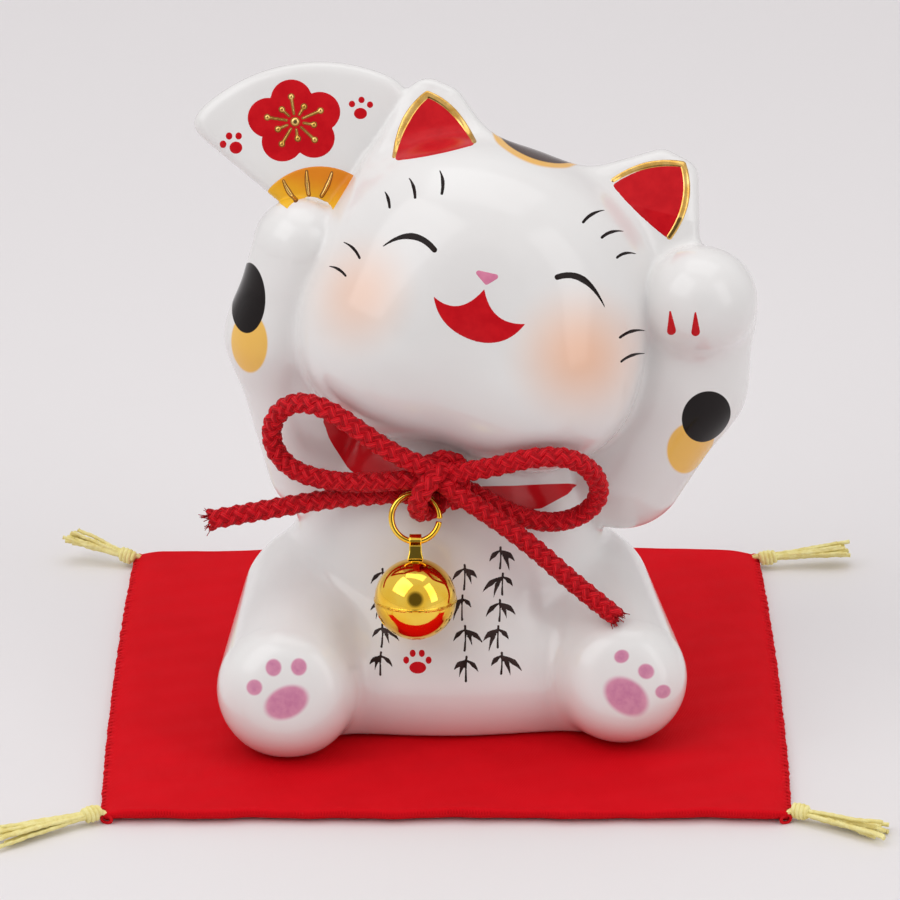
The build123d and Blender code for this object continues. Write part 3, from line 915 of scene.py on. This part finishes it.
def fray(bundle, line, hairs=26):
    """Loose fibre at a cord's cut end, the last point of its line."""
    path, run = even(line, 0.5)
    forward, side, other = frames(path)
    for _ in range(hairs):
        angle = RNG.uniform(0, math.tau)
        out = math.cos(angle) * side[-1] + math.sin(angle) * other[-1]
        root = path[-1] - forward[-1] * 0.5 + out * RNG.uniform(0.1, 1.3)
        aim = forward[-1] + out * RNG.uniform(-0.1, 0.75) + RNG.normal(0, 0.16, 3)
        t = np.linspace(0, 1, 4)[:, None]
        sag = RNG.normal(0, 0.18, 3) * t**2
        hair = root + aim * t * RNG.uniform(0.7, 1.5) + sag
        bundle.tube(hair, t[:, 0], 0.06, 0.06, sides=4)


for name, route, far_end, cut in (
    ("bow_left_loop", LEFT_LOOP, "object", False),
    ("bow_right_loop", RIGHT_LOOP, "object", False),
    ("bow_left_tail", LEFT_TAIL, "bare", True),
    ("bow_right_tail", RIGHT_TAIL, "bare", True),
):
    line = laid(route, name + "_line")
    bundle = Bundle()
    braid(bundle, line / MM, end_cut=cut)
    if cut:
        fray(bundle, line / MM)
    piece = bundle.piece("braided_" + name, RED_SILK)
    show(piece, "cat", "red_cord", name)

# The knot's own turns, in the ring's plane: across, up and front of the ring's middle.
KNOT_WRAP = [
    (5.9, 3.6, -0.6), (5.9, 5.4, 0.4), (5.0, 6.9, 1.8), (3.4, 7.0, 3.6), (2.0, 5.2, 4.6), (0.9, 3.6, 4.0),
    (0.3, 2.0, 2.4), (0.3, 1.0, 0.3), (1.1, 0.75, -1.9), (3.0, 1.4, -2.6), (4.6, 3.2, -2.2),
]
KNOT_UNDER = [
    (1.8, 5.4, -2.4), (2.9, 6.4, -1.2), (4.4, 7.0, 0.0), (6.2, 6.4, 1.2), (6.8, 4.8, 1.8), (6.4, 3.2, 1.6),
    (5.8, 2.2, 0.4),
]
KNOT_CROSS = [
    (0.6, 6.2, -2.0), (1.6, 7.4, -0.6), (3.0, 8.3, 0.6), (4.8, 8.5, 0.8), (6.6, 7.6, 0.2), (7.4, 6.2, -0.8),
]
knot = Bundle()
for turns in (KNOT_WRAP, KNOT_UNDER, KNOT_CROSS):
    places = RING_CENTRE + np.array(turns) @ BODY_AXES
    line = laid([tuple(p * MM) for p in places], "knot_line") / MM
    braid(knot, line)
bow_knot = show(knot.piece("braided_knot", RED_SILK), "cat", "red_cord", "bow_knot")

# --- ring and bell -------------------------------------------------------------------------------------
RING_RADIUS = 3.5
RING_WIRE = 0.45
RING_GAP, RING_GAP_AT = 7.0, -6.0
BELL_DROP = 8.4
BELL_RADIUS = 6.0
BELL_WALL = 0.5
SEAM_PROUD, SEAM_HALF = 0.10, 0.16
SLOT_HALF, SLOT_END = 0.5, 0.9
SLOT_REACH, SLOT_TURN = 62.0, 20.0
HINGE = RING_CENTRE - RING_RADIUS * UP
BELL_CENTRE = HINGE - BELL_DROP * UP
BELL_TURN = math.radians(16.0)      # the bell hangs nearer to upright than the bow's plane
BELL_AXES = np.array([
    ACROSS,
    math.cos(BELL_TURN) * UP + math.sin(BELL_TURN) * FRONT,
    math.cos(BELL_TURN) * FRONT - math.sin(BELL_TURN) * UP,
])

angle = np.radians(np.linspace(RING_GAP_AT + RING_GAP / 2, RING_GAP_AT + 360 - RING_GAP / 2, 160))
wire = RING_CENTRE + RING_RADIUS * (np.cos(angle)[:, None] * ACROSS + np.sin(angle)[:, None] * UP)
ends = np.minimum(np.arange(160), np.arange(160)[::-1])
nipped = RING_WIRE * (1 - 0.16 * np.exp(-ends / 0.8))
ring = Bundle()
ring.tube(wire, angle * RING_RADIUS, nipped, nipped, outward=wire - RING_CENTRE, sides=28)
show(ring.piece("ring_wire", GOLD_PLATE), "ring", "gold_plate", "jump_ring")


def bell_wall(q):
    """The bell's pressed wall with its seam and its slot, in across, up and front of its middle."""
    far = np.linalg.norm(q, axis=-1)
    disc = np.hypot(q[..., 0], q[..., 2]) - (BELL_RADIUS + SEAM_PROUD)
    ball = join(far - BELL_RADIUS, np.maximum(disc, np.abs(q[..., 1]) - SEAM_HALF), 0.12)
    wall = np.maximum(ball, BELL_RADIUS - BELL_WALL - far)
    turn = math.radians(SLOT_TURN)
    first = q[..., 0] * math.cos(turn) - q[..., 2] * math.sin(turn)
    second = q[..., 0] * math.sin(turn) + q[..., 2] * math.cos(turn)
    foot = q[..., 1] + BELL_RADIUS * math.cos(math.radians(SLOT_REACH))
    cut = np.maximum(np.abs(second) - SLOT_HALF, foot)
    for way in (-1, 1):
        end = math.radians(SLOT_REACH)
        aim = np.array([way * math.sin(end), -math.cos(end)])
        along = first * aim[0] + q[..., 1] * aim[1]
        beside = np.hypot(first * aim[1] - q[..., 1] * aim[0], second)
        cut = np.minimum(cut, np.maximum(beside - SLOT_END, -along))
    return trim(wall, -cut, 0.14)


def upper_bell(p):
    q = (p - BELL_CENTRE) @ BELL_AXES.T
    slit = np.maximum(np.abs(q[..., 0]) - 1.0, np.abs(q[..., 2]) - 0.45)
    return trim(trim(bell_wall(q), 0.012 - q[..., 1], 0.05), -np.maximum(slit, -q[..., 1]), 0.05)


def lower_bell(p):
    q = (p - BELL_CENTRE) @ BELL_AXES.T
    return trim(bell_wall(q), q[..., 1] + 0.012, 0.05)


def strap(p):
    """A strip folded over the ring, pinched below it and splayed on the bell's crown."""
    q = (p - HINGE) @ BODY_AXES.T
    down = np.stack([q[..., 2], q[..., 1]], -1)
    fold = limb(down, (0, 0), (0, -0.7), 1.12, 0.62)
    splay = limb(down, (0, -0.9), (0, -2.7), 0.62, 0.86)
    outer = join(fold, splay, 0.5)
    bore = limb(down, (0, 0), (0, -0.5), 0.74, 0.2)
    width = np.abs(q[..., 0]) - (0.92 + 0.30 * np.clip((-q[..., 1] - 1.2) / 1.4, 0, 1) ** 1.5)
    solid = trim(trim(outer, -bore, 0.1), width, 0.3)
    return np.maximum(solid, -q[..., 1] - 3.1)


def cast(name, field, low, high, cell, material):
    """A piece meshed from a field in millimetres, with the field's own normals."""
    points, quads = surface_net(field, low, high, cell)
    piece = mesh_object(name, points, quads, material)
    shade_by(piece, field, points)
    return piece


reach = np.array([6.5, 6.5, 6.5])
fine = 0.13
show(cast("bell_crown", upper_bell, BELL_CENTRE - reach, BELL_CENTRE + reach, fine, GOLD_PLATE),
     "bell", "gold_plate", "bell_upper_shell")
show(cast("bell_bowl", lower_bell, BELL_CENTRE - reach, BELL_CENTRE + reach, fine, GOLD_PLATE),
     "bell", "gold_plate", "bell_lower_shell")
show(cast("bell_strap", strap, HINGE - [1.6, 2.6, 4.0], HINGE + [1.6, 2.6, 1.8], 0.07, GOLD_PLATE),
     "bell", "gold_plate", "bell_hanger")
for held in bpy.data.objects["bell_pea"].material_slots:
    held.material = BRIGHT_STEEL


def bead(p):
    """The dab of glue between the knot and the chest."""
    return ellipsoid(p, (-0.4, -17.1, 42.0), (2.1, 1.7, 1.3))


dab = cast("glue_bead", bead, (-3, -19.5, 40), (2, -15, 44), 0.2, CLEAR_GLUE)
show(dab, "cat", "clear_glue", "glue_dab")

# --- porcelain -----------------------------------------------------------------------------------------
points, quads = surface_net(cat, (-48, -38, 1.2), (50, 32, 99), 0.62)
casting = mesh_object("cat_casting", points, quads, WHITE_GLAZE)
shade_by(casting, cat, points)
show(casting, "cat", "glazed_porcelain", "porcelain_cat")


# The painted collar, as the heights of its two edges across the body's plane.
COLLAR_AT = [-19.5, -18.4, -17.2, -14.5, -11.2, -4.0, 3.0, 10.0, 14.0, 18.0, 19.4, 21.0]
COLLAR_LOW = [43.0, 40.9, 37.4, 33.2, 30.8, 28.2, 27.3, 27.0, 27.3, 29.4, 30.8, 32.0]
COLLAR_HIGH = [42.0, 41.4, 40.4, 38.6, 36.4, 32.0, 30.6, 30.7, 30.9, 31.0, 30.9, 31.0]
centre, axes = BODY_PLANE
spots = (points - centre) @ axes.T
low = np.interp(spots[:, 0], COLLAR_AT, COLLAR_LOW)
high = np.interp(spots[:, 0], COLLAR_AT, COLLAR_HIGH)
band = np.min([spots[:, 1] - low, high - spots[:, 1], spots[:, 2]], axis=0)
near = np.flatnonzero(band > -0.6)
behind = np.linalg.norm(drop_on(BODY_PLANE, spots[near, :2]) - points[near], axis=1) > 1.2
band[near[behind]] = -0.6
painted = casting.data.attributes.new("collar", "FLOAT", "POINT")
painted.data.foreach_set("value", band.astype(np.float32))


BEND_STEPS = 13


def stroke(q, start, bend, end, radii):
    """A brush stroke along a simple bend, its half-width given at the start, the middle and the end."""
    start, bend, end = (np.array(v, float) for v in (start, bend, end))
    steps = np.linspace(0, 1, BEND_STEPS)
    line = [(1 - t) ** 2 * start + 2 * t * (1 - t) * bend + t * t * end for t in steps]
    width = np.interp(steps, [0, 0.5, 1], radii)
    parts = [limb(q, a, b, ra, rb) for a, b, ra, rb in zip(line, line[1:], width, width[1:])]
    return np.min(parts, axis=0)


def bent(*edges):
    """The points of an outline made of simple bends, each given as start, bend and end."""
    outline = []
    for start, bend, end in edges:
        start, bend, end = (np.array(v, float) for v in (start, bend, end))
        for t in np.linspace(0, 1, BEND_STEPS)[:-1]:
            outline.append((1 - t) ** 2 * start + 2 * t * (1 - t) * bend + t * t * end)
    return outline


def disc(q, centre, radii):
    """An oval spot."""
    return ellipsoid(q, centre, radii)


def together(*shapes):
    return np.min(shapes, axis=0)


def coat(name, plane, shape, low, high, material, thick=0.05, rim=0.12, step=0.13):
    """Paint on the casting: a thin skin over the places of a plane where shape is negative."""
    sides = [np.arange(a, b, step) for a, b in zip(low, high)]
    across, up = np.meshgrid(*sides, indexing="ij")
    places = np.stack([across, up], -1)
    value = shape(places)
    wet = value < 0
    cell = wet[:-1, :-1] | wet[1:, :-1] | wet[1:, 1:] | wet[:-1, 1:]
    used = np.zeros(value.shape, bool)
    for i in (0, 1):
        for j in (0, 1):
            used[i:used.shape[0] - 1 + i, j:used.shape[1] - 1 + j] |= cell
    number = np.full(value.shape, -1)
    number[used] = np.arange(used.sum())
    spots = places[used]
    depth = value[used]
    outside = depth > 0
    for _ in range(3):
        edge = spots[outside]
        g = slope(shape, edge, 0.01)
        g /= np.maximum(np.linalg.norm(g, axis=1), 1e-6)[:, None]
        spots[outside] = edge - np.clip(shape(edge), -step, 1.5 * step)[:, None] * g
    skin_points = drop_on(plane, spots)
    landed = np.abs(cat(skin_points)) < 0.05
    normal = slope(cat, skin_points)
    normal /= np.linalg.norm(normal, axis=1)[:, None]
    lift = thick * (1 - np.exp(-np.maximum(-depth, 0) / rim)) - 0.01 * outside
    skin_points = skin_points + normal * lift[:, None]
    at = np.argwhere(cell)
    quads = np.stack([number[at[:, 0] + i, at[:, 1] + j] for i, j in ((0, 0), (1, 0), (1, 1), (0, 1))], 1)
    quads = quads[landed[quads].all(axis=1)]
    kept = np.unique(quads)
    renumber = np.zeros(len(skin_points), int)
    renumber[kept] = np.arange(len(kept))
    return show(mesh_object(name, skin_points[kept], renumber[quads], material), "cat", "glazed_porcelain")


def print_of_paw(q, pad, size, toes, toe_size):
    return together(disc(q, pad, size), *[disc(q, toe, toe_size) for toe in toes])


def face_lines(q):
    return together(
        stroke(q, (-15.5, 2.3), (-12.1, 6.4), (-8.2, 3.6), (0.10, 0.50, 0.42)),
        stroke(q, (9.9, 4.4), (13.5, 6.9), (17.7, 2.1), (0.42, 0.50, 0.08)),
        stroke(q, (-17.4, 10.1), (-16.6, 9.4), (-16.1, 8.0), (0.08, 0.26, 0.20)),
        stroke(q, (-14.5, 12.9), (-13.4, 12.0), (-12.9, 10.3), (0.08, 0.27, 0.22)),
        stroke(q, (-10.5, 15.1), (-9.4, 13.8), (-9.3, 11.8), (0.08, 0.29, 0.22)),
        stroke(q, (11.5, 13.2), (12.2, 15.0), (14.1, 15.9), (0.22, 0.27, 0.06)),
        stroke(q, (14.7, 11.8), (15.6, 13.3), (17.6, 13.7), (0.22, 0.26, 0.06)),
        stroke(q, (17.6, 9.6), (18.4, 10.9), (20.2, 11.0), (0.20, 0.24, 0.06)),
        stroke(q, (-21.3, 1.5), (-19.6, 1.3), (-18.4, -0.2), (0.08, 0.24, 0.20)),
        stroke(q, (-22.4, -2.4), (-21.0, -2.2), (-19.7, -3.2), (0.08, 0.24, 0.18)),
        stroke(q, (21.0, -1.5), (22.3, 0.3), (24.5, 0.6), (0.20, 0.26, 0.06)),
        stroke(q, (22.1, -4.8), (23.2, -3.2), (25.3, -2.6), (0.18, 0.24, 0.06)),
    )


def smile(q):
    left, notch, right, low = (-6.5, -3.0), (0.2, -0.1), (7.1, -3.4), (1.0, -7.55)
    return polygon(q, bent(
        (left, (-2.25, -5.1), notch), (notch, (2.4, -4.8), right),
        (right, (5.4, -7.4), low), (low, (-4.6, -7.4), left),
    )) - 0.05


def nose(q):
    return polygon(q, [(-1.2, 2.0), (1.3, 2.1), (0.25, 1.0)]) - 0.38


def ears_red(q):
    left = bent(((-16.9, 15.7), (-17.2, 21.6), (-15.0, 25.2)), ((-15.0, 25.2), (-11.0, 24.6), (-7.3, 20.5)),
                ((-7.3, 20.5), (-12.0, 17.4), (-16.9, 15.7)))
    right = bent(((15.0, 20.1), (18.6, 24.2), (23.4, 25.0)), ((23.4, 25.0), (25.6, 20.4), (23.9, 15.2)),
                 ((23.9, 15.2), (19.0, 17.2), (15.0, 20.1)))
    return together(polygon(q, left), polygon(q, right)) - 0.5


def ears_gold(q):
    return together(
        stroke(q, (-17.6, 15.7), (-18.2, 22.2), (-15.3, 26.0), (0.30, 0.62, 0.55)),
        stroke(q, (-15.3, 26.0), (-11.0, 25.6), (-6.9, 20.9), (0.55, 0.55, 0.40)),
        stroke(q, (14.3, 20.8), (18.0, 25.1), (23.6, 25.8), (0.35, 0.52, 0.50)),
        stroke(q, (23.6, 25.8), (26.6, 21.0), (24.4, 14.9), (0.50, 0.55, 0.45)),
    )


FLOWER = (-3.6, 16.6)              # the flower's middle on the fan
FLOWER_TURN = 98                   # degrees to its first petal and stamen


def plum_petals(q):
    petals = [disc(q, (FLOWER[0] + 4.0 * math.cos(a), FLOWER[1] + 3.3 * math.sin(a)), (3.05, 2.95))
              for a in np.radians(FLOWER_TURN + 72 * np.arange(5))]
    return together(disc(q, FLOWER, (3.2, 3.0)), *petals)


def fan_red(q):
    return together(
        plum_petals(q),
        print_of_paw(q, (-12.3, 12.8), (0.95, 0.9),
                     [(-14.2, 13.3), (-13.3, 14.5), (-11.9, 14.5)], (0.5, 0.55)),
        print_of_paw(q, (6.0, 17.8), (0.98, 0.85),
                     [(4.75, 19.2), (6.15, 19.8), (7.4, 19.1)], (0.48, 0.5)),
    )


def stamens(q, grow=0.0):
    """Gilt stamens in the flower's middle, five long and five short."""
    centre = np.array(FLOWER)
    parts = [disc(q, centre, (0.62 + grow, 0.62 + grow))]
    for k, a in enumerate(np.radians(FLOWER_TURN + 36 * np.arange(10))):
        long = 3.7 if k % 2 == 0 else 2.5
        aim = np.array([math.cos(a) * 1.12, math.sin(a)])
        parts.append(limb(q, centre + aim * 1.15, centre + aim * long, 0.13 + grow, 0.17 + grow))
        parts.append(disc(q, centre + aim * long, (0.42 + grow, 0.42 + grow)))
    return together(*parts)


def fan_heel(q):
    tilt, half = math.radians(-10.9), math.radians(41.2)
    x = np.abs(q[..., 0] * math.cos(tilt) - q[..., 1] * math.sin(tilt))
    y = q[..., 0] * math.sin(tilt) + q[..., 1] * math.cos(tilt)
    side = x * math.cos(half) - y * math.sin(half)
    hand = 3.85 - np.hypot(q[..., 0] + 1.35, q[..., 1] - 1.6)
    return np.max([np.hypot(x, y) - 10.05, side, hand], axis=0)


def ribs(q, grow=0.0):
    widths = (0.16 + grow, 0.34 + grow, 0.26 + grow)
    return together(
        stroke(q, (-5.3, 7.9), (-4.7, 6.3), (-3.5, 5.0), widths),
        stroke(q, (-1.9, 9.3), (-1.9, 7.6), (-1.6, 5.9), widths),
        stroke(q, (1.8, 9.1), (1.3, 7.2), (0.3, 5.7), widths),
    )


def paw_drops(q):
    return together(limb(q, (32.5, 56.0), (32.75, 53.3), 0.14, 0.64),
                    limb(q, (36.1, 55.8), (36.2, 53.1), 0.14, 0.64))


def belly_print(q):
    toes = [(-5.9, 5.0), (-4.95, 6.0), (-3.6, 6.0), (-2.6, 5.0)]
    return print_of_paw(q, (-4.2, 3.9), (1.25, 0.9), toes, (0.46, 0.55))


def bamboo(q):
    """Three hanging sprigs: a jointed stem with long leaves to its left and right in turn."""
    parts = []
    for stem, top, foot, lean, size in ((8.0, 21.6, 2.2, 0.35, 1.0), (2.7, 19.0, 1.0, -0.3, 0.92),
                                        (-9.4, 18.4, 2.0, 0.25, 0.86)):
        count = 5 if size == 1.0 else 4
        drop = (top - foot) / count
        for k in range(count):
            high = top - k * drop
            x = stem + lean * math.sin(1.7 * k)
            way = 1 if k % 2 == 0 else -1
            joint = ((x, high), (x + 0.12 * way, high - drop * 0.4), (x - 0.08, high - drop * 0.8))
            parts.append(stroke(q, *joint, (0.20, 0.13, 0.20)))
            for turn, far, wide in ((1.0, 2.7, 0.44), (-0.85, 2.2, 0.40), (0.45, 3.0, 0.36)):
                far = far * (1 + 0.2 * math.sin(4.1 * k + 2.3 * turn + stem))
                root = (x, high - drop * 0.12)
                reach = far * size
                hang = reach * (1.15 - abs(turn) * 0.45)
                tip = (x + way * turn * reach * 0.92, root[1] - hang)
                bend = (x + way * turn * reach * 0.62, root[1] - reach * 0.22)
                parts.append(stroke(q, root, bend, tip, (0.10, wide * size, 0.05)))
    return together(*parts)


coat("face_lines", HEAD_PLANE, face_lines, (-24, -6), (27, 17), BLACK_ENAMEL)
coat("smile_paint", HEAD_PLANE, smile, (-7.5, -8.5), (8, 1), RED_ENAMEL)
coat("nose_paint", HEAD_PLANE, nose, (-2.2, 0), (2.3, 3), ROSE_ENAMEL)
coat("ear_gilding", HEAD_PLANE, ears_gold, (-19, 14), (27.5, 28), GOLD_LUSTRE, 0.13)
coat("ear_paint", HEAD_PLANE, ears_red, (-18.5, 14), (26, 27), RED_ENAMEL, 0.05)
coat("fan_flower", FAN_PLANE, fan_red, (-16, 9), (9, 24), RED_ENAMEL)
coat("fan_heel_paint", FAN_PLANE, fan_heel, (-9, 2), (7, 12), FAN_OCHRE, 0.13)
coat("stamen_shade", FAN_PLANE, lambda q: stamens(q, 0.14), (-9, 11), (2, 22), GOLD_SHADE, 0.10, 0.06)
coat("stamen_gilding", FAN_PLANE, stamens, (-9, 11), (2, 22), GOLD_LUSTRE, 0.24)
coat("rib_shade", FAN_PLANE, lambda q: ribs(q, 0.16), (-7, 4), (3, 11), GOLD_SHADE, 0.20, 0.08)
coat("rib_gilding", FAN_PLANE, ribs, (-7, 4), (3, 11), GOLD_LUSTRE, 0.38)
coat("paw_drops", BODY_PLANE, paw_drops, (31, 51), (38, 58), RED_ENAMEL)
coat("belly_print", BODY_PLANE, belly_print, (-7, 2), (-1, 8), RED_ENAMEL)
coat("bamboo_sprigs", BODY_PLANE, bamboo, (-14, -1), (13, 23), BRUSH_INK, 0.03)

# --- mat -----------------------------------------------------------------------------------------------
MAT_HALF_WIDE, MAT_HALF_DEEP = 50.0, 47.5
ROLL_FROM = 5.0                    # how far from a fold the cloth starts to curl
TUCK = 1.7                         # how far the front fold's lower layer sits behind the upper one


def bowed(points):
    """The mat's two sides bow out a little between its corners."""
    squeeze = 0.014 * (points[:, 1] / MAT_HALF_DEEP) ** 2
    points[:, 0] *= 1 - squeeze
    return points


def mat_loop(inset, columns, rows):
    """Points and quads of the folded sleeve, a closed loop of cloth for each place across the mat."""
    across = np.linspace(-MAT_HALF_WIDE + inset, MAT_HALF_WIDE - inset, columns)
    flat = np.linspace(-1, 1, rows)
    nose = np.linspace(math.pi / 2, -math.pi / 2, 11)[1:-1]
    loop = 2 * (len(flat) + len(nose))
    lines = []
    for x in across:
        ripple = 0.20 * math.sin(x * 0.21 + 0.6) + 0.16 * math.sin(x * 0.47 + 2.1)
        ripple += 0.08 * math.sin(x * 1.03)
        heave = 0.22 * math.sin(x * 0.13 + 1.2) + 0.16 * math.sin(x * 0.39 + 0.3)
        edge = np.clip((MAT_HALF_WIDE - abs(x)) / 4.5, 0, 1)
        plump = edge * (2 - edge)
        deep = MAT_HALF_DEEP - inset
        front = -deep - 0.1 + 0.8 * ripple
        back = deep + 0.3 * ripple + (1.5 + 0.02 * x) * (1 - (x / MAT_HALF_WIDE) ** 2)
        top = 1.35 + 0.65 * plump - inset
        low = 0.02 + inset
        y_top = np.interp(flat, [-1, 1], [back - 1.0, front + 1.0])
        near = np.clip((front + 1.0 + ROLL_FROM - y_top) / ROLL_FROM, 0, 1) ** 2
        z_top = top + near * (0.20 + 0.5 * heave) + 0.05 * np.sin(y_top * 0.33 + x * 0.11) * plump
        z_top = z_top + 0.04 * np.sin(y_top * 0.9 - x * 0.35) * plump
        y_low = y_top[::-1]
        rise = np.clip((front + 1.0 + ROLL_FROM - y_low) / ROLL_FROM, 0, 1) ** 2
        z_low = low + rise * (0.12 + 0.12 * heave)
        near_mid, near_half = (z_top[-1] + z_low[0]) / 2, (z_top[-1] - z_low[0]) / 2
        far_mid, far_half = (z_top[0] + z_low[-1]) / 2, (z_top[0] - z_low[-1]) / 2
        tuck = TUCK * np.clip((math.pi / 3 - nose) / (math.pi * 5 / 6), 0, 1)
        y = np.concatenate([
            y_top, front + 1.0 - np.cos(nose) + tuck,
            y_low + TUCK * rise, back - 1.0 + np.cos(nose) * far_half * 1.05,
        ])
        z = np.concatenate([
            z_top, near_mid + np.sin(nose) * near_half,
            z_low, far_mid - np.sin(nose) * far_half,
        ])
        lines.append(np.stack([np.full(loop, x), y, z], -1))
    i = np.arange(columns - 1)[:, None] * loop
    j = np.arange(loop)[None]
    k = (j + 1) % loop
    quads = np.stack(np.broadcast_arrays(i + j, i + loop + j, i + loop + k, i + k), -1)
    quads = quads.reshape(-1, 4).tolist()
    last = (columns - 1) * loop
    quads.append(list(range(loop)))
    quads.append([last + n for n in range(loop)][::-1])
    return bowed(np.concatenate(lines)), quads


cover_points, cover_quads = mat_loop(0.0, 150, 140)
cover = mesh_object("mat_cloth", cover_points, cover_quads, RED_CREPE)
show(cover, "mat", "red_cloth", "mat_cover")
pad_points, pad_quads = mat_loop(0.42, 40, 40)
pad = mesh_object("mat_pad", pad_points, pad_quads, WHITE_WADDING)
show(pad, "mat", "white_wadding", "mat_wadding")

stitches = overlock()
edges = []
for side, way in (("left", -1), ("right", 1)):
    x = way * (MAT_HALF_WIDE - 0.25) * MM
    row = stitches.make(
        f"overlock_{side}", Start=(x, -46.9 * MM, 0.72 * MM), End=(x, 46.9 * MM, 0.72 * MM), Stitches=84,
        Wrap=(0.80 * MM, 0.62 * MM, 1.0 * MM), Thread=0.27 * MM, Slant=0.32 * way, Material=RED_THREAD)
    places = np.array([tuple(v.co) for v in row.data.vertices]) / MM
    row.data.vertices.foreach_set("co", (bowed(places) * MM).ravel())
    edges.append(show(row, "mat", "red_thread", f"mat_edge_stitch_{side}"))

TASSEL_YARNS = 14

tassels = []
yarns = yarn_brush()
for corner, at, knot_at, tip, spread, seed in (
    ("front_left", (-49.0, -46.4, 1.2), (-51.2, -47.0, 1.6), (-65.2, -54.6, 1.4), 2.6, 3),
    ("front_right", (49.0, -46.4, 1.2), (51.2, -46.2, 1.6), (63.6, -51.8, 1.4), 2.8, 11),
    ("back_left", (-49.0, 46.0, 1.2), (-51.0, 45.4, 1.8), (-60.4, 48.4, 4.4), 2.4, 23),
    ("back_right", (49.0, 46.0, 1.2), (51.2, 44.6, 1.8), (64.6, 45.4, 2.8), 2.8, 31),
):
    knot_at, tip, at = (np.array(v) for v in (knot_at, tip, at))
    aim = (tip - knot_at) / np.linalg.norm(tip - knot_at)
    side = np.cross([0.0, 0.0, 1.0], aim)
    side /= np.linalg.norm(side)
    lift = np.cross(aim, side)
    root = knot_at - aim * 0.4
    brush = yarns.make(
        f"tassel_{corner}_yarns", Root=tuple(root * MM), Tip=tuple(tip * MM),
        Side=tuple(side), Lift=tuple(lift), Yarns=TASSEL_YARNS, Spread=spread * MM,
        Yarn=0.30 * MM, Curl=2.2 * MM, Seed=seed, Material=YELLOW_YARN)
    wound = Bundle()
    t = np.linspace(0, 1, 120)
    swirl = math.tau * 3.6 * t
    body = 0.72 + 0.16 * np.sin(math.pi * t)
    helix = (knot_at + np.outer(2.3 * t - 1.15, aim) + (body * np.cos(swirl))[:, None] * side
             + (body * np.sin(swirl))[:, None] * lift)
    wound.tube(helix, t * 25, 0.40, 0.36, sides=9)
    core = np.linspace(knot_at - aim * 1.3, knot_at + aim * 1.4, 12)
    wound.tube(core, np.linspace(0, 3, 12), 0.70, 0.70, sides=12)
    sewn = np.linspace(0, 1, 14)[:, None]
    tie = at + (knot_at - aim * 0.7 - at) * sewn + lift * 0.25 * np.sin(math.pi * sewn)
    for shift in (-0.3, 0.3):
        wound.tube(tie + side * shift, sewn[:, 0] * 3, 0.34, 0.34, sides=8)
    whipping = wound.piece(f"tassel_{corner}_knot", YELLOW_YARN)
    show(whipping, "mat", "yellow_yarn")
    show(brush, "mat", "yellow_yarn", f"tassel_{corner}")
    tassels += [whipping, brush]

edges + tassels

set_stage()
bpy.context.scene.view_settings.view_transform = "Standard"
